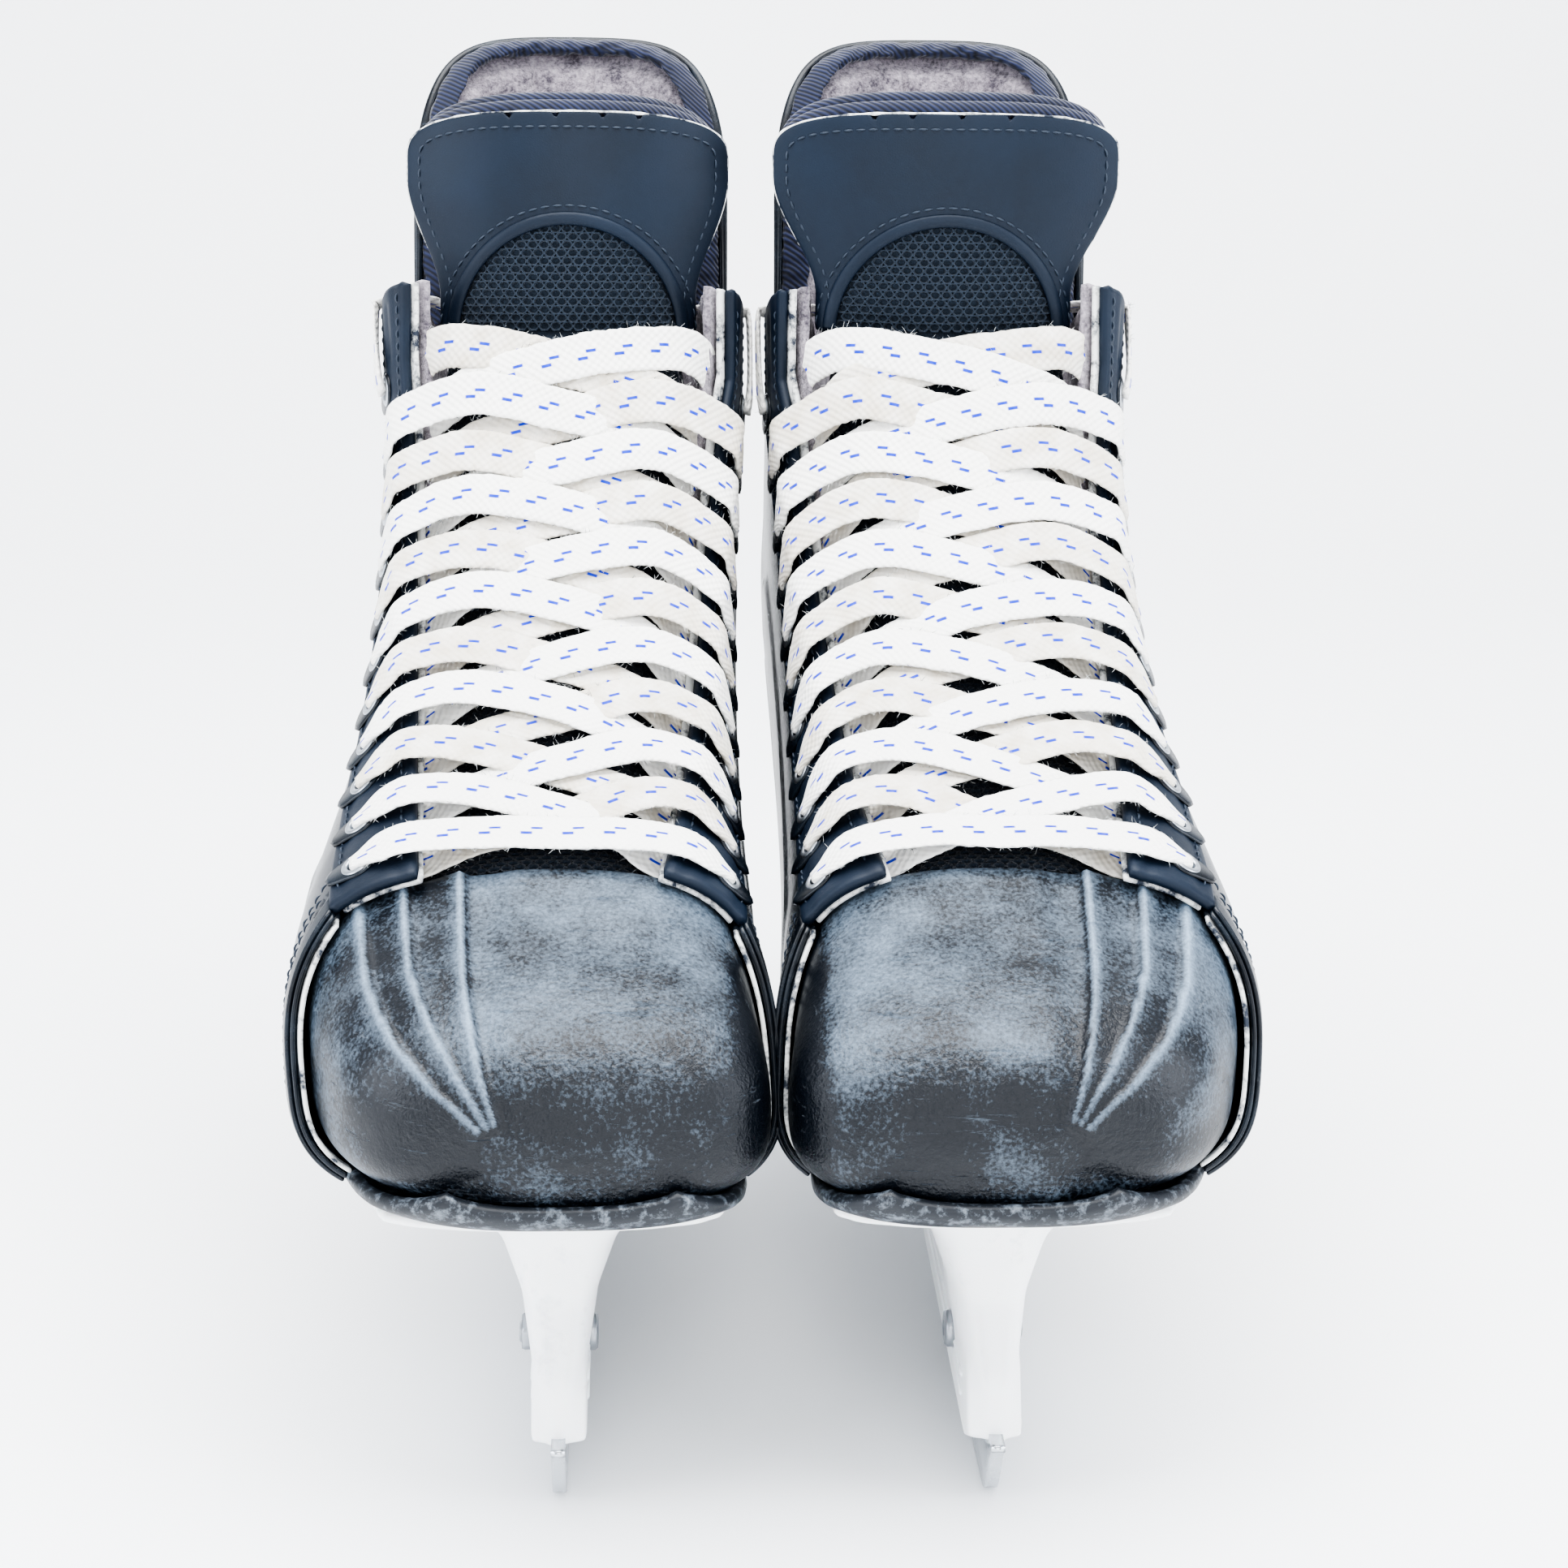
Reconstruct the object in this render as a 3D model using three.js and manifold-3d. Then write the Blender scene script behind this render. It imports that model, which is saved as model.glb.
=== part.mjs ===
// A pair of ice hockey skates, standing side by side on their runners.
// Millimetres. +Z is up, the toes point to -Y, and the ice is Z = 0. The right foot's skate is at -X.
// Each skate is drawn once, for the right foot, with its runner in the plane x = 0, its inner (medial) side
// at +x and its outer (lateral) side at -x. The left skate is its mirror image.
import * as THREE from "three";
import { mergeVertices } from "three/addons/utils/BufferGeometryUtils.js";
import Module from "manifold-3d";

const wasm = await Module();
wasm.setup();
const { degToRad, lerp, clamp, smoothstep } = THREE.MathUtils;

// ---------------------------------------------------------------- driving sizes

const PAIR_GAP = 0.6; // between the two skates, where they come nearest each other
const LEFT_TONGUE_LEAN = degToRad(7); // the left tongue rests this much further forward than the right
const GAP = 0.3; // between pieces that touch on the real skate
const LAYER_GAP = 0.9; // between curved layers, whose facets don't line up

// The boot's form: sections from the tip of the toe (0) to the collar (the last). Each one runs from a point
// on the sole or heel (yo, zo) to a point on the instep (yi, zi), and is as wide as outer + inner at its
// widest, which is at the share m of its height. pb and pt are how square it is below and above that.
const FORM = [
  { yo: -141.5, zo: 84, yi: -141.5, zi: 97, outer: 15, inner: 18, m: 0.5, pb: 2.2, pt: 2.2 },
  { yo: -139.5, zo: 78, yi: -138, zi: 105, outer: 29, inner: 33, m: 0.46, pb: 2.7, pt: 2.5 },
  { yo: -134, zo: 75, yi: -131.5, zi: 112, outer: 39, inner: 41.5, m: 0.43, pb: 3.0, pt: 2.8 },
  { yo: -123, zo: 73, yi: -120, zi: 117.5, outer: 47.5, inner: 45.4, m: 0.41, pb: 3.2, pt: 3.0 },
  { yo: -105, zo: 72, yi: -101, zi: 124, outer: 54, inner: 44, m: 0.4, pb: 3.3, pt: 3.0 },
  { yo: -84, zo: 71.5, yi: -78, zi: 133, outer: 57, inner: 42.2, m: 0.38, pb: 3.3, pt: 2.9 },
  { yo: -56, zo: 71, yi: -46, zi: 146, outer: 55.5, inner: 40, m: 0.37, pb: 3.2, pt: 2.6 },
  { yo: -18, zo: 73, yi: -14, zi: 163, outer: 50, inner: 38.5, m: 0.38, pb: 3.0, pt: 2.7 },
  { yo: 34, zo: 78, yi: 12, zi: 183, outer: 46, inner: 38, m: 0.42, pb: 2.9, pt: 3.0 },
  { yo: 92, zo: 83, yi: 31, zi: 202, outer: 44, inner: 38.5, m: 0.47, pb: 2.7, pt: 3.6 },
  { yo: 131, zo: 91, yi: 41, zi: 216, outer: 43, inner: 39.5, m: 0.5, pb: 2.4, pt: 4.3 },
  { yo: 137.5, zo: 117, yi: 47, zi: 227, outer: 43, inner: 40, m: 0.5, pb: 2.3, pt: 4.6 },
  { yo: 129, zo: 162, yi: 50.5, zi: 236, outer: 43, inner: 40, m: 0.5, pb: 2.3, pt: 4.8 },
  { yo: 125, zo: 204, yi: 52, zi: 243, outer: 43, inner: 40, m: 0.5, pb: 2.3, pt: 5 },
];
const COLLAR = FORM.length - 1;

// Layers, as distances out of the form. The toe cap's outside and the quarters' inside both lie on it.
const TOE_CAP_WALL = 3;
const TOE_LINER_WALL = 2.2;
const QUARTER_IN = 0.6; // the clearance of the quarters' inside from the form
const QUARTER_WALL = 3.2;
const QUARTER_FRONT_WALL = 1.8; // at their front edge, which is pared down over the toe cap
const EYESTAY_WALL = 4.2;
const EYESTAY_MARGIN = 6; // from the eyelets' centres to the eyestay's back edge
const OUTSOLE_IN = 0.5; // the clearance of the outsole's inside from the form
const OUTSOLE_WALL = 3.6;
const FLANGE_WALL = 3.4;
const PAD_WALL = 9.5; // the ankle padding, at the back
const PAD_FRONT_WALL = 4.5; // and where its felt shows at the facing
const INSOLE_WALL = 2.4;
const FOOTBED_WALL = 4.5;
const BACKSTAY_WALL = 1.8;

const FACING_LOW_OUTER = 30.5; // from the middle to the eyestays' edges, at the toe
const FACING_LOW_INNER = 22.5;
const FACING_TOP = 37.5; // and at the collar
const EYELET_INSET = 12; // from an eyestay's edge to its eyelets' centres
const EYELETS = 11; // a side
const EYELET_HOLE = 4.8; // across
const FIRST_EYELET = 5.15; // where the eyelets start and end, in sections
const LAST_EYELET = 11.2;

const LACE_WIDTH = 9.8;
const LACE_THICKNESS = 1.2;
const LACE_NECK = 3; // how wide the lace is where it bunches up to pass an eyelet
const TAIL_WIDTH = 8; // its loose ends are creased narrower
const TAIL_BACK = 22; // where they go over the collar, behind the eyestay's edge
const LACE_TUCK = 12; // and how deep they go into it

const TONGUE_FELT = 7;
const TONGUE_SKIN = 1.4;
const TONGUE_HINGE = 11.3; // the section where the tongue flexes, just above the top lace
const TONGUE_TOP_Z = 288;
const HINGE_SLOT = 1.2; // left between the tongue's fixed and flexing parts
// How wide each tongue's flap is across its front, and how far its sides curve back. The left one is flatter.
const RIGHT_CURL = { half: 41.5, sweep: 15 };
const LEFT_CURL = { half: 44.5, sweep: 10 };

const GUARD_TOP_Z = 296;
const GUARD_WALL = 2.4;
const GUARD_PAD = 6.5;

const RUNNER_THICKNESS = 3;
const RUNNER_LENGTH = 268;
const RUNNER_FLAT = 120; // the level middle of its edge
const ROCKER_RADIUS = 2700;
const RAIL_BOTTOM = 12.5; // the holder's lower edge, above the ice
const RAIL_TOP = 29;
const RAIL_THICKNESS = 12;
const BOLT_R = 2.5;
const BOLT_CLEARANCE = 0.35;
const BOLT_Z = 26;
const FRONT_BOLT_Y = -92;
const REAR_BOLT_Y = 96;
const BOLT_HEAD_R = 4.3;
const BOLT_HEAD_H = 2.6;
const NUT_ACROSS_CORNERS = 9.2;
const NUT_H = 3.2;
const SEAT_X = 5.4; // where the bolts' heads and nuts bear on the holder, from its middle
const SEAT_CLEARANCE = 0.8; // round a head or nut, in its seat

// ---------------------------------------------------------------- the boot's form

const v3 = (x, y, z) => new THREE.Vector3(x, y, z);

// The collar's rim lies in a plane that slopes down to the heel.
const rim = FORM[COLLAR];
const COLLAR_SLOPE = (rim.zi - rim.zo) / (rim.yo - rim.yi);
const COLLAR_UP = v3(0, COLLAR_SLOPE, 1).normalize();

// A smooth value of one of FORM's columns at any section number.
function column(key, s) {
  const at = clamp(s, 0, COLLAR);
  const i = Math.min(Math.floor(at), COLLAR - 1);
  const value = (n) => FORM[clamp(n, 0, COLLAR)][key];
  const [a, b, c, d] = [value(i - 1), value(i), value(i + 1), value(i + 2)];
  const t = at - i;
  return 0.5 * (2 * b + (c - a) * t + (2 * a - 5 * b + 4 * c - d) * t * t + (3 * b - a - 3 * c + d) * t ** 3);
}

// The point of the form at section s and turn phi: 0 is the sole's or heel's middle, 90 degrees the inner
// side, -90 degrees the outer side, and 180 degrees the instep's middle.
function form(s, phi) {
  const c = Math.cos(phi);
  const t = Math.sin(phi);
  const power = 2 / column(c > 0 ? "pb" : "pt", s);
  const m = column("m", s);
  const rise = Math.abs(c) ** power;
  const u = c > 0 ? m * (1 - rise) : m + (1 - m) * rise;
  const x = Math.sign(t) * column(t > 0 ? "inner" : "outer", s) * Math.abs(t) ** power;
  return v3(x, lerp(column("yo", s), column("yi", s), u), lerp(column("zo", s), column("zi", s), u));
}

function outward(s, phi) {
  const step = 0.03;
  const along = form(Math.min(s + step, COLLAR), phi).sub(form(Math.max(s - step, 0), phi));
  const round = form(s, phi + step).sub(form(s, phi - step));
  return along.cross(round).normalize();
}

const layer = (s, phi, out) => form(s, phi).addScaledVector(outward(s, phi), out);

// The turn at which the upper half of section s is x from the middle, on the given side (1 inner, -1 outer).
function turnAt(s, x, side) {
  const half = column(side > 0 ? "inner" : "outer", s);
  return side * (Math.PI - Math.asin(Math.min(x / half, 1) ** (column("pt", s) / 2)));
}

// How far an eyestay's edge is from the boot's middle.
function facingEdge(s, side) {
  const low = side > 0 ? FACING_LOW_INNER : FACING_LOW_OUTER;
  return lerp(low, FACING_TOP, clamp((s - 4.8) / (LAST_EYELET - 4.8), 0, 1) ** 0.8);
}

// The turn that lies back millimetres round the boot from an eyestay's edge.
function facingTurn(s, side, back = 0) {
  let turn = turnAt(s, facingEdge(s, side) + Math.min(back, 0), side);
  const step = side * degToRad(1);
  let here = form(s, turn);
  for (let left = back; left > 0; ) {
    const next = form(s, turn - step);
    const run = next.distanceTo(here);
    turn -= step * Math.min(left / run, 1);
    left -= run;
    here = next;
  }
  return turn;
}

// The section numbers of the eyelets, which are evenly spaced along the facing.
const eyeletSections = (() => {
  const steps = 200;
  const sections = Array.from({ length: steps + 1 }, (_, i) => lerp(FIRST_EYELET, LAST_EYELET, i / steps));
  const points = sections.map((s) => form(s, facingTurn(s, 1, EYELET_INSET)));
  const run = points.map(() => 0);
  for (let i = 1; i <= steps; i++) run[i] = run[i - 1] + points[i].distanceTo(points[i - 1]);
  return Array.from({ length: EYELETS }, (_, k) => {
    const wanted = (run[steps] * k) / (EYELETS - 1);
    return sections[run.findIndex((r) => r >= wanted - 1e-9)];
  });
})();

// ---------------------------------------------------------------- ways to make a solid

// The mesh of a grid of points, which a list of quads joins.
function meshOf(points, quads) {
  const index = [];
  for (const [a, b, c, d] of quads) index.push(a, b, c, ...(d === undefined ? [] : [a, c, d]));
  const geometry = new THREE.BufferGeometry();
  const numbers = points.flatMap((p) => [p.x, p.y, p.z]);
  geometry.setAttribute("position", new THREE.Float32BufferAttribute(numbers, 3));
  geometry.setIndex(index);
  return faceOut(mergeVertices(geometry, 1e-4));
}

// Turns a closed mesh's faces outwards if they point inwards, and drops faces that have shrunk to a line.
function faceOut(geometry) {
  const p = geometry.attributes.position;
  const at = (i) => v3(p.getX(i), p.getY(i), p.getZ(i));
  const kept = [];
  let volume = 0;
  const index = geometry.index.array;
  for (let i = 0; i < index.length; i += 3) {
    const [a, b, c] = [index[i], index[i + 1], index[i + 2]];
    if (a === b || b === c || c === a) continue;
    kept.push([a, b, c]);
    volume += at(a).dot(at(b).cross(at(c)));
  }
  geometry.setIndex((volume < 0 ? kept.map(([a, b, c]) => [a, c, b]) : kept).flat());
  return geometry;
}

// A wall between two surfaces, each a function of u and v from 0 to 1.
function wall(outside, inside, nu, nv) {
  const points = [];
  const id = (side, i, j) => side * (nu + 1) * (nv + 1) + i * (nv + 1) + j;
  for (const surface of [outside, inside])
    for (let i = 0; i <= nu; i++) for (let j = 0; j <= nv; j++) points.push(surface(i / nu, j / nv));
  const quads = [];
  for (let i = 0; i < nu; i++)
    for (let j = 0; j < nv; j++) {
      quads.push([id(0, i, j), id(0, i, j + 1), id(0, i + 1, j + 1), id(0, i + 1, j)]);
      quads.push([id(1, i, j), id(1, i + 1, j), id(1, i + 1, j + 1), id(1, i, j + 1)]);
    }
  for (let j = 0; j < nv; j++) {
    quads.push([id(0, 0, j), id(1, 0, j), id(1, 0, j + 1), id(0, 0, j + 1)]);
    quads.push([id(0, nu, j), id(0, nu, j + 1), id(1, nu, j + 1), id(1, nu, j)]);
  }
  for (let i = 0; i < nu; i++) {
    quads.push([id(0, i, 0), id(0, i + 1, 0), id(1, i + 1, 0), id(1, i, 0)]);
    quads.push([id(0, i, nv), id(1, i, nv), id(1, i + 1, nv), id(0, i + 1, nv)]);
  }
  return meshOf(points, quads);
}

// A solid through a row of closed rings, with flat ends.
function loft(rings) {
  const n = rings[0].length;
  const points = rings.flat();
  const quads = [];
  for (let i = 0; i < rings.length - 1; i++)
    for (let j = 0; j < n; j++) {
      const k = (j + 1) % n;
      quads.push([i * n + j, i * n + k, (i + 1) * n + k, (i + 1) * n + j]);
    }
  for (const [ring, base] of [[rings[0], 0], [rings.at(-1), (rings.length - 1) * n]]) {
    const middle = ring.reduce((sum, p) => sum.add(p), v3(0, 0, 0)).divideScalar(n);
    points.push(middle);
    for (let j = 0; j < n; j++) {
      const k = (j + 1) % n;
      quads.push(base ? [base + j, base + k, points.length - 1] : [base + k, base + j, points.length - 1]);
    }
  }
  return meshOf(points, quads);
}

// A flat shape drawn in y and z, as a plate of the given thickness on both sides of x = middle.
function plate(outline, thickness, middle = 0) {
  const shape = new THREE.Shape(outline.map(([y, z]) => new THREE.Vector2(y, z)));
  const geometry = new THREE.ExtrudeGeometry(shape, { depth: thickness, bevelEnabled: false });
  geometry.applyMatrix4(new THREE.Matrix4().makeBasis(v3(0, 1, 0), v3(0, 0, 1), v3(1, 0, 0)));
  return geometry.translate(middle - thickness / 2, 0, 0);
}

// A square post that stands out of the form, from one distance to another.
function post(s, turn, across, from, to) {
  const turned = new THREE.Quaternion().setFromUnitVectors(v3(0, 1, 0), outward(s, turn));
  const at = layer(s, turn, (from + to) / 2);
  return new THREE.BoxGeometry(across, to - from, across).applyQuaternion(turned).translate(at.x, at.y, at.z);
}

// A round or many-sided rod along x.
function rod(radius, from, to, y, z, sides) {
  const geometry = new THREE.CylinderGeometry(radius, radius, to - from, sides);
  return geometry.rotateZ(Math.PI / 2).translate((from + to) / 2, y, z);
}

function toSolid(geometry) {
  const plain = new THREE.BufferGeometry();
  plain.setAttribute("position", geometry.getAttribute("position"));
  plain.setIndex(geometry.index);
  const merged = mergeVertices(plain, 1e-4);
  const mesh = new wasm.Mesh({
    numProp: 3,
    vertProperties: merged.attributes.position.array,
    triVerts: new Uint32Array(merged.index.array),
  });
  return new wasm.Manifold(mesh);
}

function toGeometry(solid) {
  const mesh = solid.getMesh();
  const geometry = new THREE.BufferGeometry();
  geometry.setAttribute("position", new THREE.BufferAttribute(mesh.vertProperties, 3));
  geometry.setIndex(new THREE.BufferAttribute(mesh.triVerts, 1));
  return geometry;
}

const joined = (geometries) => geometries.map(toSolid).reduce((a, b) => a.add(b));
const cut = (solid, geometries) => geometries.map(toSolid).reduce((a, b) => a.subtract(b), solid);

// ---------------------------------------------------------------- toe

const TOE_CAP_END = 4.92;
const QUARTER_FRONT_TOP = 4.82; // the quarters' front edge, at the facing
const QUARTER_FRONT_SOLE = 3.55; // and at the sole

// The toe cap is closed at the front, runs all round the toes, and is open behind. The liner follows it.
function toeShell(outside, thickness, end, rings, turns) {
  const ring = (s, out) =>
    Array.from({ length: turns }, (_, j) => layer(s, (j / turns) * 2 * Math.PI - Math.PI, out));
  const sections = Array.from({ length: rings + 1 }, (_, i) => end * (i / rings) ** 1.15);
  const outer = sections.map((s) => ring(s, outside));
  const inner = sections.map((s) => ring(Math.max(s, 0.25), outside - thickness));
  for (const p of inner[0]) p.y = Math.max(p.y, inner[0][0].y);
  const points = [...outer.flat(), ...inner.flat()];
  const id = (side, i, j) => (side * (rings + 1) + i) * turns + (j % turns);
  const quads = [];
  for (let i = 0; i < rings; i++)
    for (let j = 0; j < turns; j++) {
      quads.push([id(0, i, j), id(0, i, j + 1), id(0, i + 1, j + 1), id(0, i + 1, j)]);
      quads.push([id(1, i, j), id(1, i + 1, j), id(1, i + 1, j + 1), id(1, i, j + 1)]);
    }
  for (let j = 0; j < turns; j++)
    quads.push([id(0, rings, j), id(0, rings, j + 1), id(1, rings, j + 1), id(1, rings, j)]);
  for (const side of [0, 1]) {
    const first = side ? inner[0] : outer[0];
    points.push(first.reduce((sum, p) => sum.add(p), v3(0, 0, 0)).divideScalar(turns));
    for (let j = 0; j < turns; j++) {
      const [a, b] = side ? [j + 1, j] : [j, j + 1];
      quads.push([id(side, 0, b), id(side, 0, a), points.length - 1]);
    }
  }
  return meshOf(points, quads);
}

const toeCap = () => toeShell(0, TOE_CAP_WALL, TOE_CAP_END, 8, 18);
const toeLiner = () => toeShell(-TOE_CAP_WALL - LAYER_GAP, TOE_LINER_WALL, TOE_CAP_END - 0.2, 5, 14);

// ---------------------------------------------------------------- boot shell

const SOLE_TURN = degToRad(48); // half of what the outsole covers of a section
const HEEL_END = 10.1; // the outsole's last section
const SEAM_TURN = degToRad(1.2);

// The turn at which a quarter starts: beside the outsole, and behind the heel at the seam.
function quarterStart(s) {
  return lerp(SOLE_TURN + degToRad(3), SEAM_TURN, smoothstep(s, HEEL_END - 0.5, HEEL_END + 0.7));
}

// The room that the outsole takes out of the quarters.
const outsoleRoom = () =>
  soleSheet(OUTSOLE_WALL + 6, OUTSOLE_WALL + 12, 0.5, HEEL_END + 0.04, SOLE_TURN + degToRad(1), 13, 6);

const collarDip = (v) => COLLAR - 0.28 * Math.sin(Math.PI * clamp(v * 1.15, 0, 1)) ** 2;

function quarter(side) {
  const front = (v) => lerp(QUARTER_FRONT_SOLE, QUARTER_FRONT_TOP, v ** 1.3);
  const surface = (share) => (u, v) => {
    const s = lerp(front(v), collarDip(v), u);
    const end = facingTurn(s, side, EYELET_INSET + EYESTAY_MARGIN + LAYER_GAP);
    const out = QUARTER_IN + share * lerp(QUARTER_FRONT_WALL, QUARTER_WALL, Math.min(u * 6, 1));
    return layer(s, lerp(side * quarterStart(s), end, v), out);
  };
  const shell = wall(surface(1), surface(0), 15, 7);
  return toGeometry(cut(toSolid(shell), [outsoleRoom()]));
}

// The strip along the laces that holds the eyelets.
function eyestay(side) {
  const surface = (out) => (u, v) => {
    const s = lerp(QUARTER_FRONT_TOP, COLLAR, u);
    return layer(s, facingTurn(s, side, lerp(EYELET_INSET + EYESTAY_MARGIN, 0, v)), out);
  };
  const strip = wall(surface(QUARTER_IN + EYESTAY_WALL), surface(QUARTER_IN), 14, 3);
  const holes = eyeletSections.map((s) => {
    const turn = facingTurn(s, side, EYELET_INSET);
    return post(s, turn, EYELET_HOLE, -EYELET_HOLE, EYESTAY_WALL + EYELET_HOLE);
  });
  return toGeometry(cut(toSolid(strip), holes));
}

// The padding beside the ankle, whose felt shows at the front of the collar.
const PAD_FRONT = 7.6; // the section where it starts
const PAD_START = degToRad(52);
const PAD_GAP = 1; // from the form, which the quarters' inside lies close to
const HEEL_PAD_FOOT = 10.75; // the section where the heel's padding starts
const HEEL_PAD_WALL = 6.6;
function anklePad(side) {
  const surface = (share) => (u, v) => {
    const s = lerp(PAD_FRONT, COLLAR, u);
    const behindLaces = EYELET_INSET + EYESTAY_MARGIN + 2;
    const back = lerp(behindLaces, 0.6, smoothstep(s, COLLAR - 0.6, COLLAR - 0.1));
    const depth = PAD_GAP + share * lerp(PAD_WALL, PAD_FRONT_WALL, v * v);
    return layer(s, lerp(side * PAD_START, facingTurn(s, side, back), v), -depth);
  };
  return wall(surface(0), surface(1), 10, 4);
}

// The padding behind the heel and the tendon, between the two ankle pads.
function heelPad() {
  const halfTurn = PAD_START - degToRad(2);
  const surface = (out) => (u, v) => layer(lerp(HEEL_PAD_FOOT, COLLAR, u), lerp(-1, 1, v) * halfTurn, out);
  return wall(surface(-PAD_GAP), surface(-PAD_GAP - HEEL_PAD_WALL), 4, 6);
}

// The strip sewn over the seam at the back.
function backstay() {
  const surface = (out) => (u, v) => {
    const s = lerp(HEEL_END + 0.7, COLLAR - 0.05, u);
    return layer(s, lerp(-1, 1, v) * degToRad(lerp(26, 12, u)), out);
  };
  const inside = QUARTER_IN + QUARTER_WALL + LAYER_GAP;
  return wall(surface(inside + BACKSTAY_WALL), surface(inside), 6, 4);
}

// ---------------------------------------------------------------- under the foot

function soleSheet(outside, thickness, from, to, halfTurn, nu, nv) {
  const surface = (out) => (u, v) => layer(lerp(from, to, u), lerp(-1, 1, v) * halfTurn, out);
  return wall(surface(outside), surface(outside - thickness), nu, nv);
}

const outsole = () => soleSheet(OUTSOLE_IN + OUTSOLE_WALL, OUTSOLE_WALL, 0.9, HEEL_END, SOLE_TURN, 14, 6);

// The board that the quarters are lasted to, and the footbed that lies on it.
const BOARD_TURN = degToRad(28);
const inSole = (outside, thickness) =>
  soleSheet(outside, thickness, TOE_CAP_END + 0.15, HEEL_END - 0.6, BOARD_TURN, 10, 4);
const insoleBoard = () => inSole(-LAYER_GAP, INSOLE_WALL);
const footbed = () => inSole(-LAYER_GAP - INSOLE_WALL - GAP, FOOTBED_WALL);

// ---------------------------------------------------------------- tongue

const TONGUE_OUT = -3.6; // its face, from the form, in the middle of the gap between the eyestays
const TONGUE_SINK = 2.6; // and how much deeper it lies at their edges
const TONGUE_WING = 6; // how far it reaches under them, at the toe
const TONGUE_TOP_WING = -5; // and short of them, at the collar
const TONGUE_START = TOE_CAP_END + 0.03; // it is sewn to the toe cap's rear edge
const TONGUE_SEAM_RISE = 1.8; // and comes up to it

function tongueHalf(s, side) {
  const wing = lerp(TONGUE_WING, TONGUE_TOP_WING, smoothstep(s, LAST_EYELET - 1.5, LAST_EYELET));
  return facingEdge(s, side) + wing;
}

// The tongue where it lies under the laces: across runs from -1 to 1, and depth is measured in from its face.
function tonguePoint(s, across, depth) {
  const side = across < 0 ? -1 : 1;
  const edge = facingEdge(s, side);
  const x = Math.abs(across) * tongueHalf(s, side);
  const turn = x > edge ? facingTurn(s, side, x - edge) : turnAt(s, x, side);
  const sink = TONGUE_SINK * clamp(x / edge, 0, 1) ** 2.4;
  const rise = TONGUE_SEAM_RISE * (1 - smoothstep(s, TONGUE_START, TONGUE_START + 0.4));
  return layer(s, turn, TONGUE_OUT - sink + rise - depth);
}

function lowerTongueSheet(depth, thickness) {
  const surface = (d) => (u, v) => tonguePoint(lerp(TONGUE_START, TONGUE_HINGE, u), lerp(-1, 1, v), d);
  return wall(surface(depth), surface(depth + thickness), 9, 6);
}

const tonguePad = () => lowerTongueSheet(TONGUE_SKIN + GAP, TONGUE_FELT);
const tongueFace = () => lowerTongueSheet(0, TONGUE_SKIN);

// The flap above the laces. Its spine rises from the hinge line, and its sides curve back round the shin.
const hingePoint = tonguePoint(TONGUE_HINGE, 0, 0);
const FLAP_LEAN = degToRad(9); // its spine leans back this much from upright
const FLAP_HEIGHT = (TONGUE_TOP_Z - hingePoint.z) / Math.cos(FLAP_LEAN);
const FLAP_CORNER = 17; // how far its rounded corners drop below its top
const FLAP_LOW_HALF = 33.5;

// across and up are shares of the flap's half width and height, and depth is measured in from its face.
function flapPoint(curl, up, across, depth) {
  const half = lerp(FLAP_LOW_HALF, curl.half, smoothstep(up, 0.15, 0.65));
  const drop = FLAP_CORNER * Math.abs(across) ** 3.6 * smoothstep(up, 0.4, 1);
  const rise = HINGE_SLOT + up * (FLAP_HEIGHT - HINGE_SLOT) - drop;
  const slope = Math.atan2(2 * curl.sweep * across, half);
  const back = curl.sweep * across ** 2 + depth * Math.cos(slope);
  return v3(
    across * half - depth * Math.sin(slope),
    hingePoint.y + rise * Math.sin(FLAP_LEAN) + back * Math.cos(FLAP_LEAN),
    hingePoint.z + rise * Math.cos(FLAP_LEAN) - back * Math.sin(FLAP_LEAN),
  );
}

// A layer of the flap that stops short of its sides and top by the two margins.
function flapSheet(curl, depth, thickness, sides, top, foot = 0) {
  const surface = (d) => (u, v) =>
    flapPoint(curl, lerp(foot, 1 - top / FLAP_HEIGHT, u), lerp(-1, 1, v) * (1 - sides / curl.half), d);
  return wall(surface(depth), surface(depth + thickness), 5, 6);
}

const FACE_SIDES = 2; // the face's margins
const FACE_TOP = 6;
const BINDING_WIDTH = 5;
const BINDING_FOOT = 0.14; // where it starts, as a share of the flap's height
const CUT_MARGIN = 4; // how far a cutting shape reaches past what it cuts
const WINDOW_R = 27; // the arched mesh window at the flap's foot

// A prism through the flap with an arched top.
function windowPrism(radius) {
  const arch = new THREE.CylinderGeometry(radius, radius, 60, 14).translate(0, hingePoint.y, 0);
  return arch.translate(0, 0, hingePoint.z);
}

const flapSkin = (curl) => toSolid(flapSheet(curl, 0, TONGUE_SKIN, FACE_SIDES, FACE_TOP));
const flapFace = (curl) => toGeometry(flapSkin(curl).subtract(toSolid(windowPrism(WINDOW_R + GAP))));
const flapMesh = (curl) => toGeometry(flapSkin(curl).intersect(toSolid(windowPrism(WINDOW_R))));
const flapPad = (curl) => flapSheet(curl, TONGUE_SKIN + LAYER_GAP, TONGUE_FELT, BINDING_WIDTH, BINDING_WIDTH);

// The binding is a rim round the pad's sides and top.
function flapBinding(curl) {
  const front = TONGUE_SKIN + LAYER_GAP;
  const hole = BINDING_WIDTH - LAYER_GAP;
  const whole = toSolid(flapSheet(curl, front, TONGUE_FELT, 0, 0, BINDING_FOOT));
  const inner = flapSheet(curl, front - CUT_MARGIN, TONGUE_FELT + 2 * CUT_MARGIN, hole, hole, -BINDING_FOOT);
  return toGeometry(cut(whole, [inner]));
}

// ---------------------------------------------------------------- tendon guard

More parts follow.
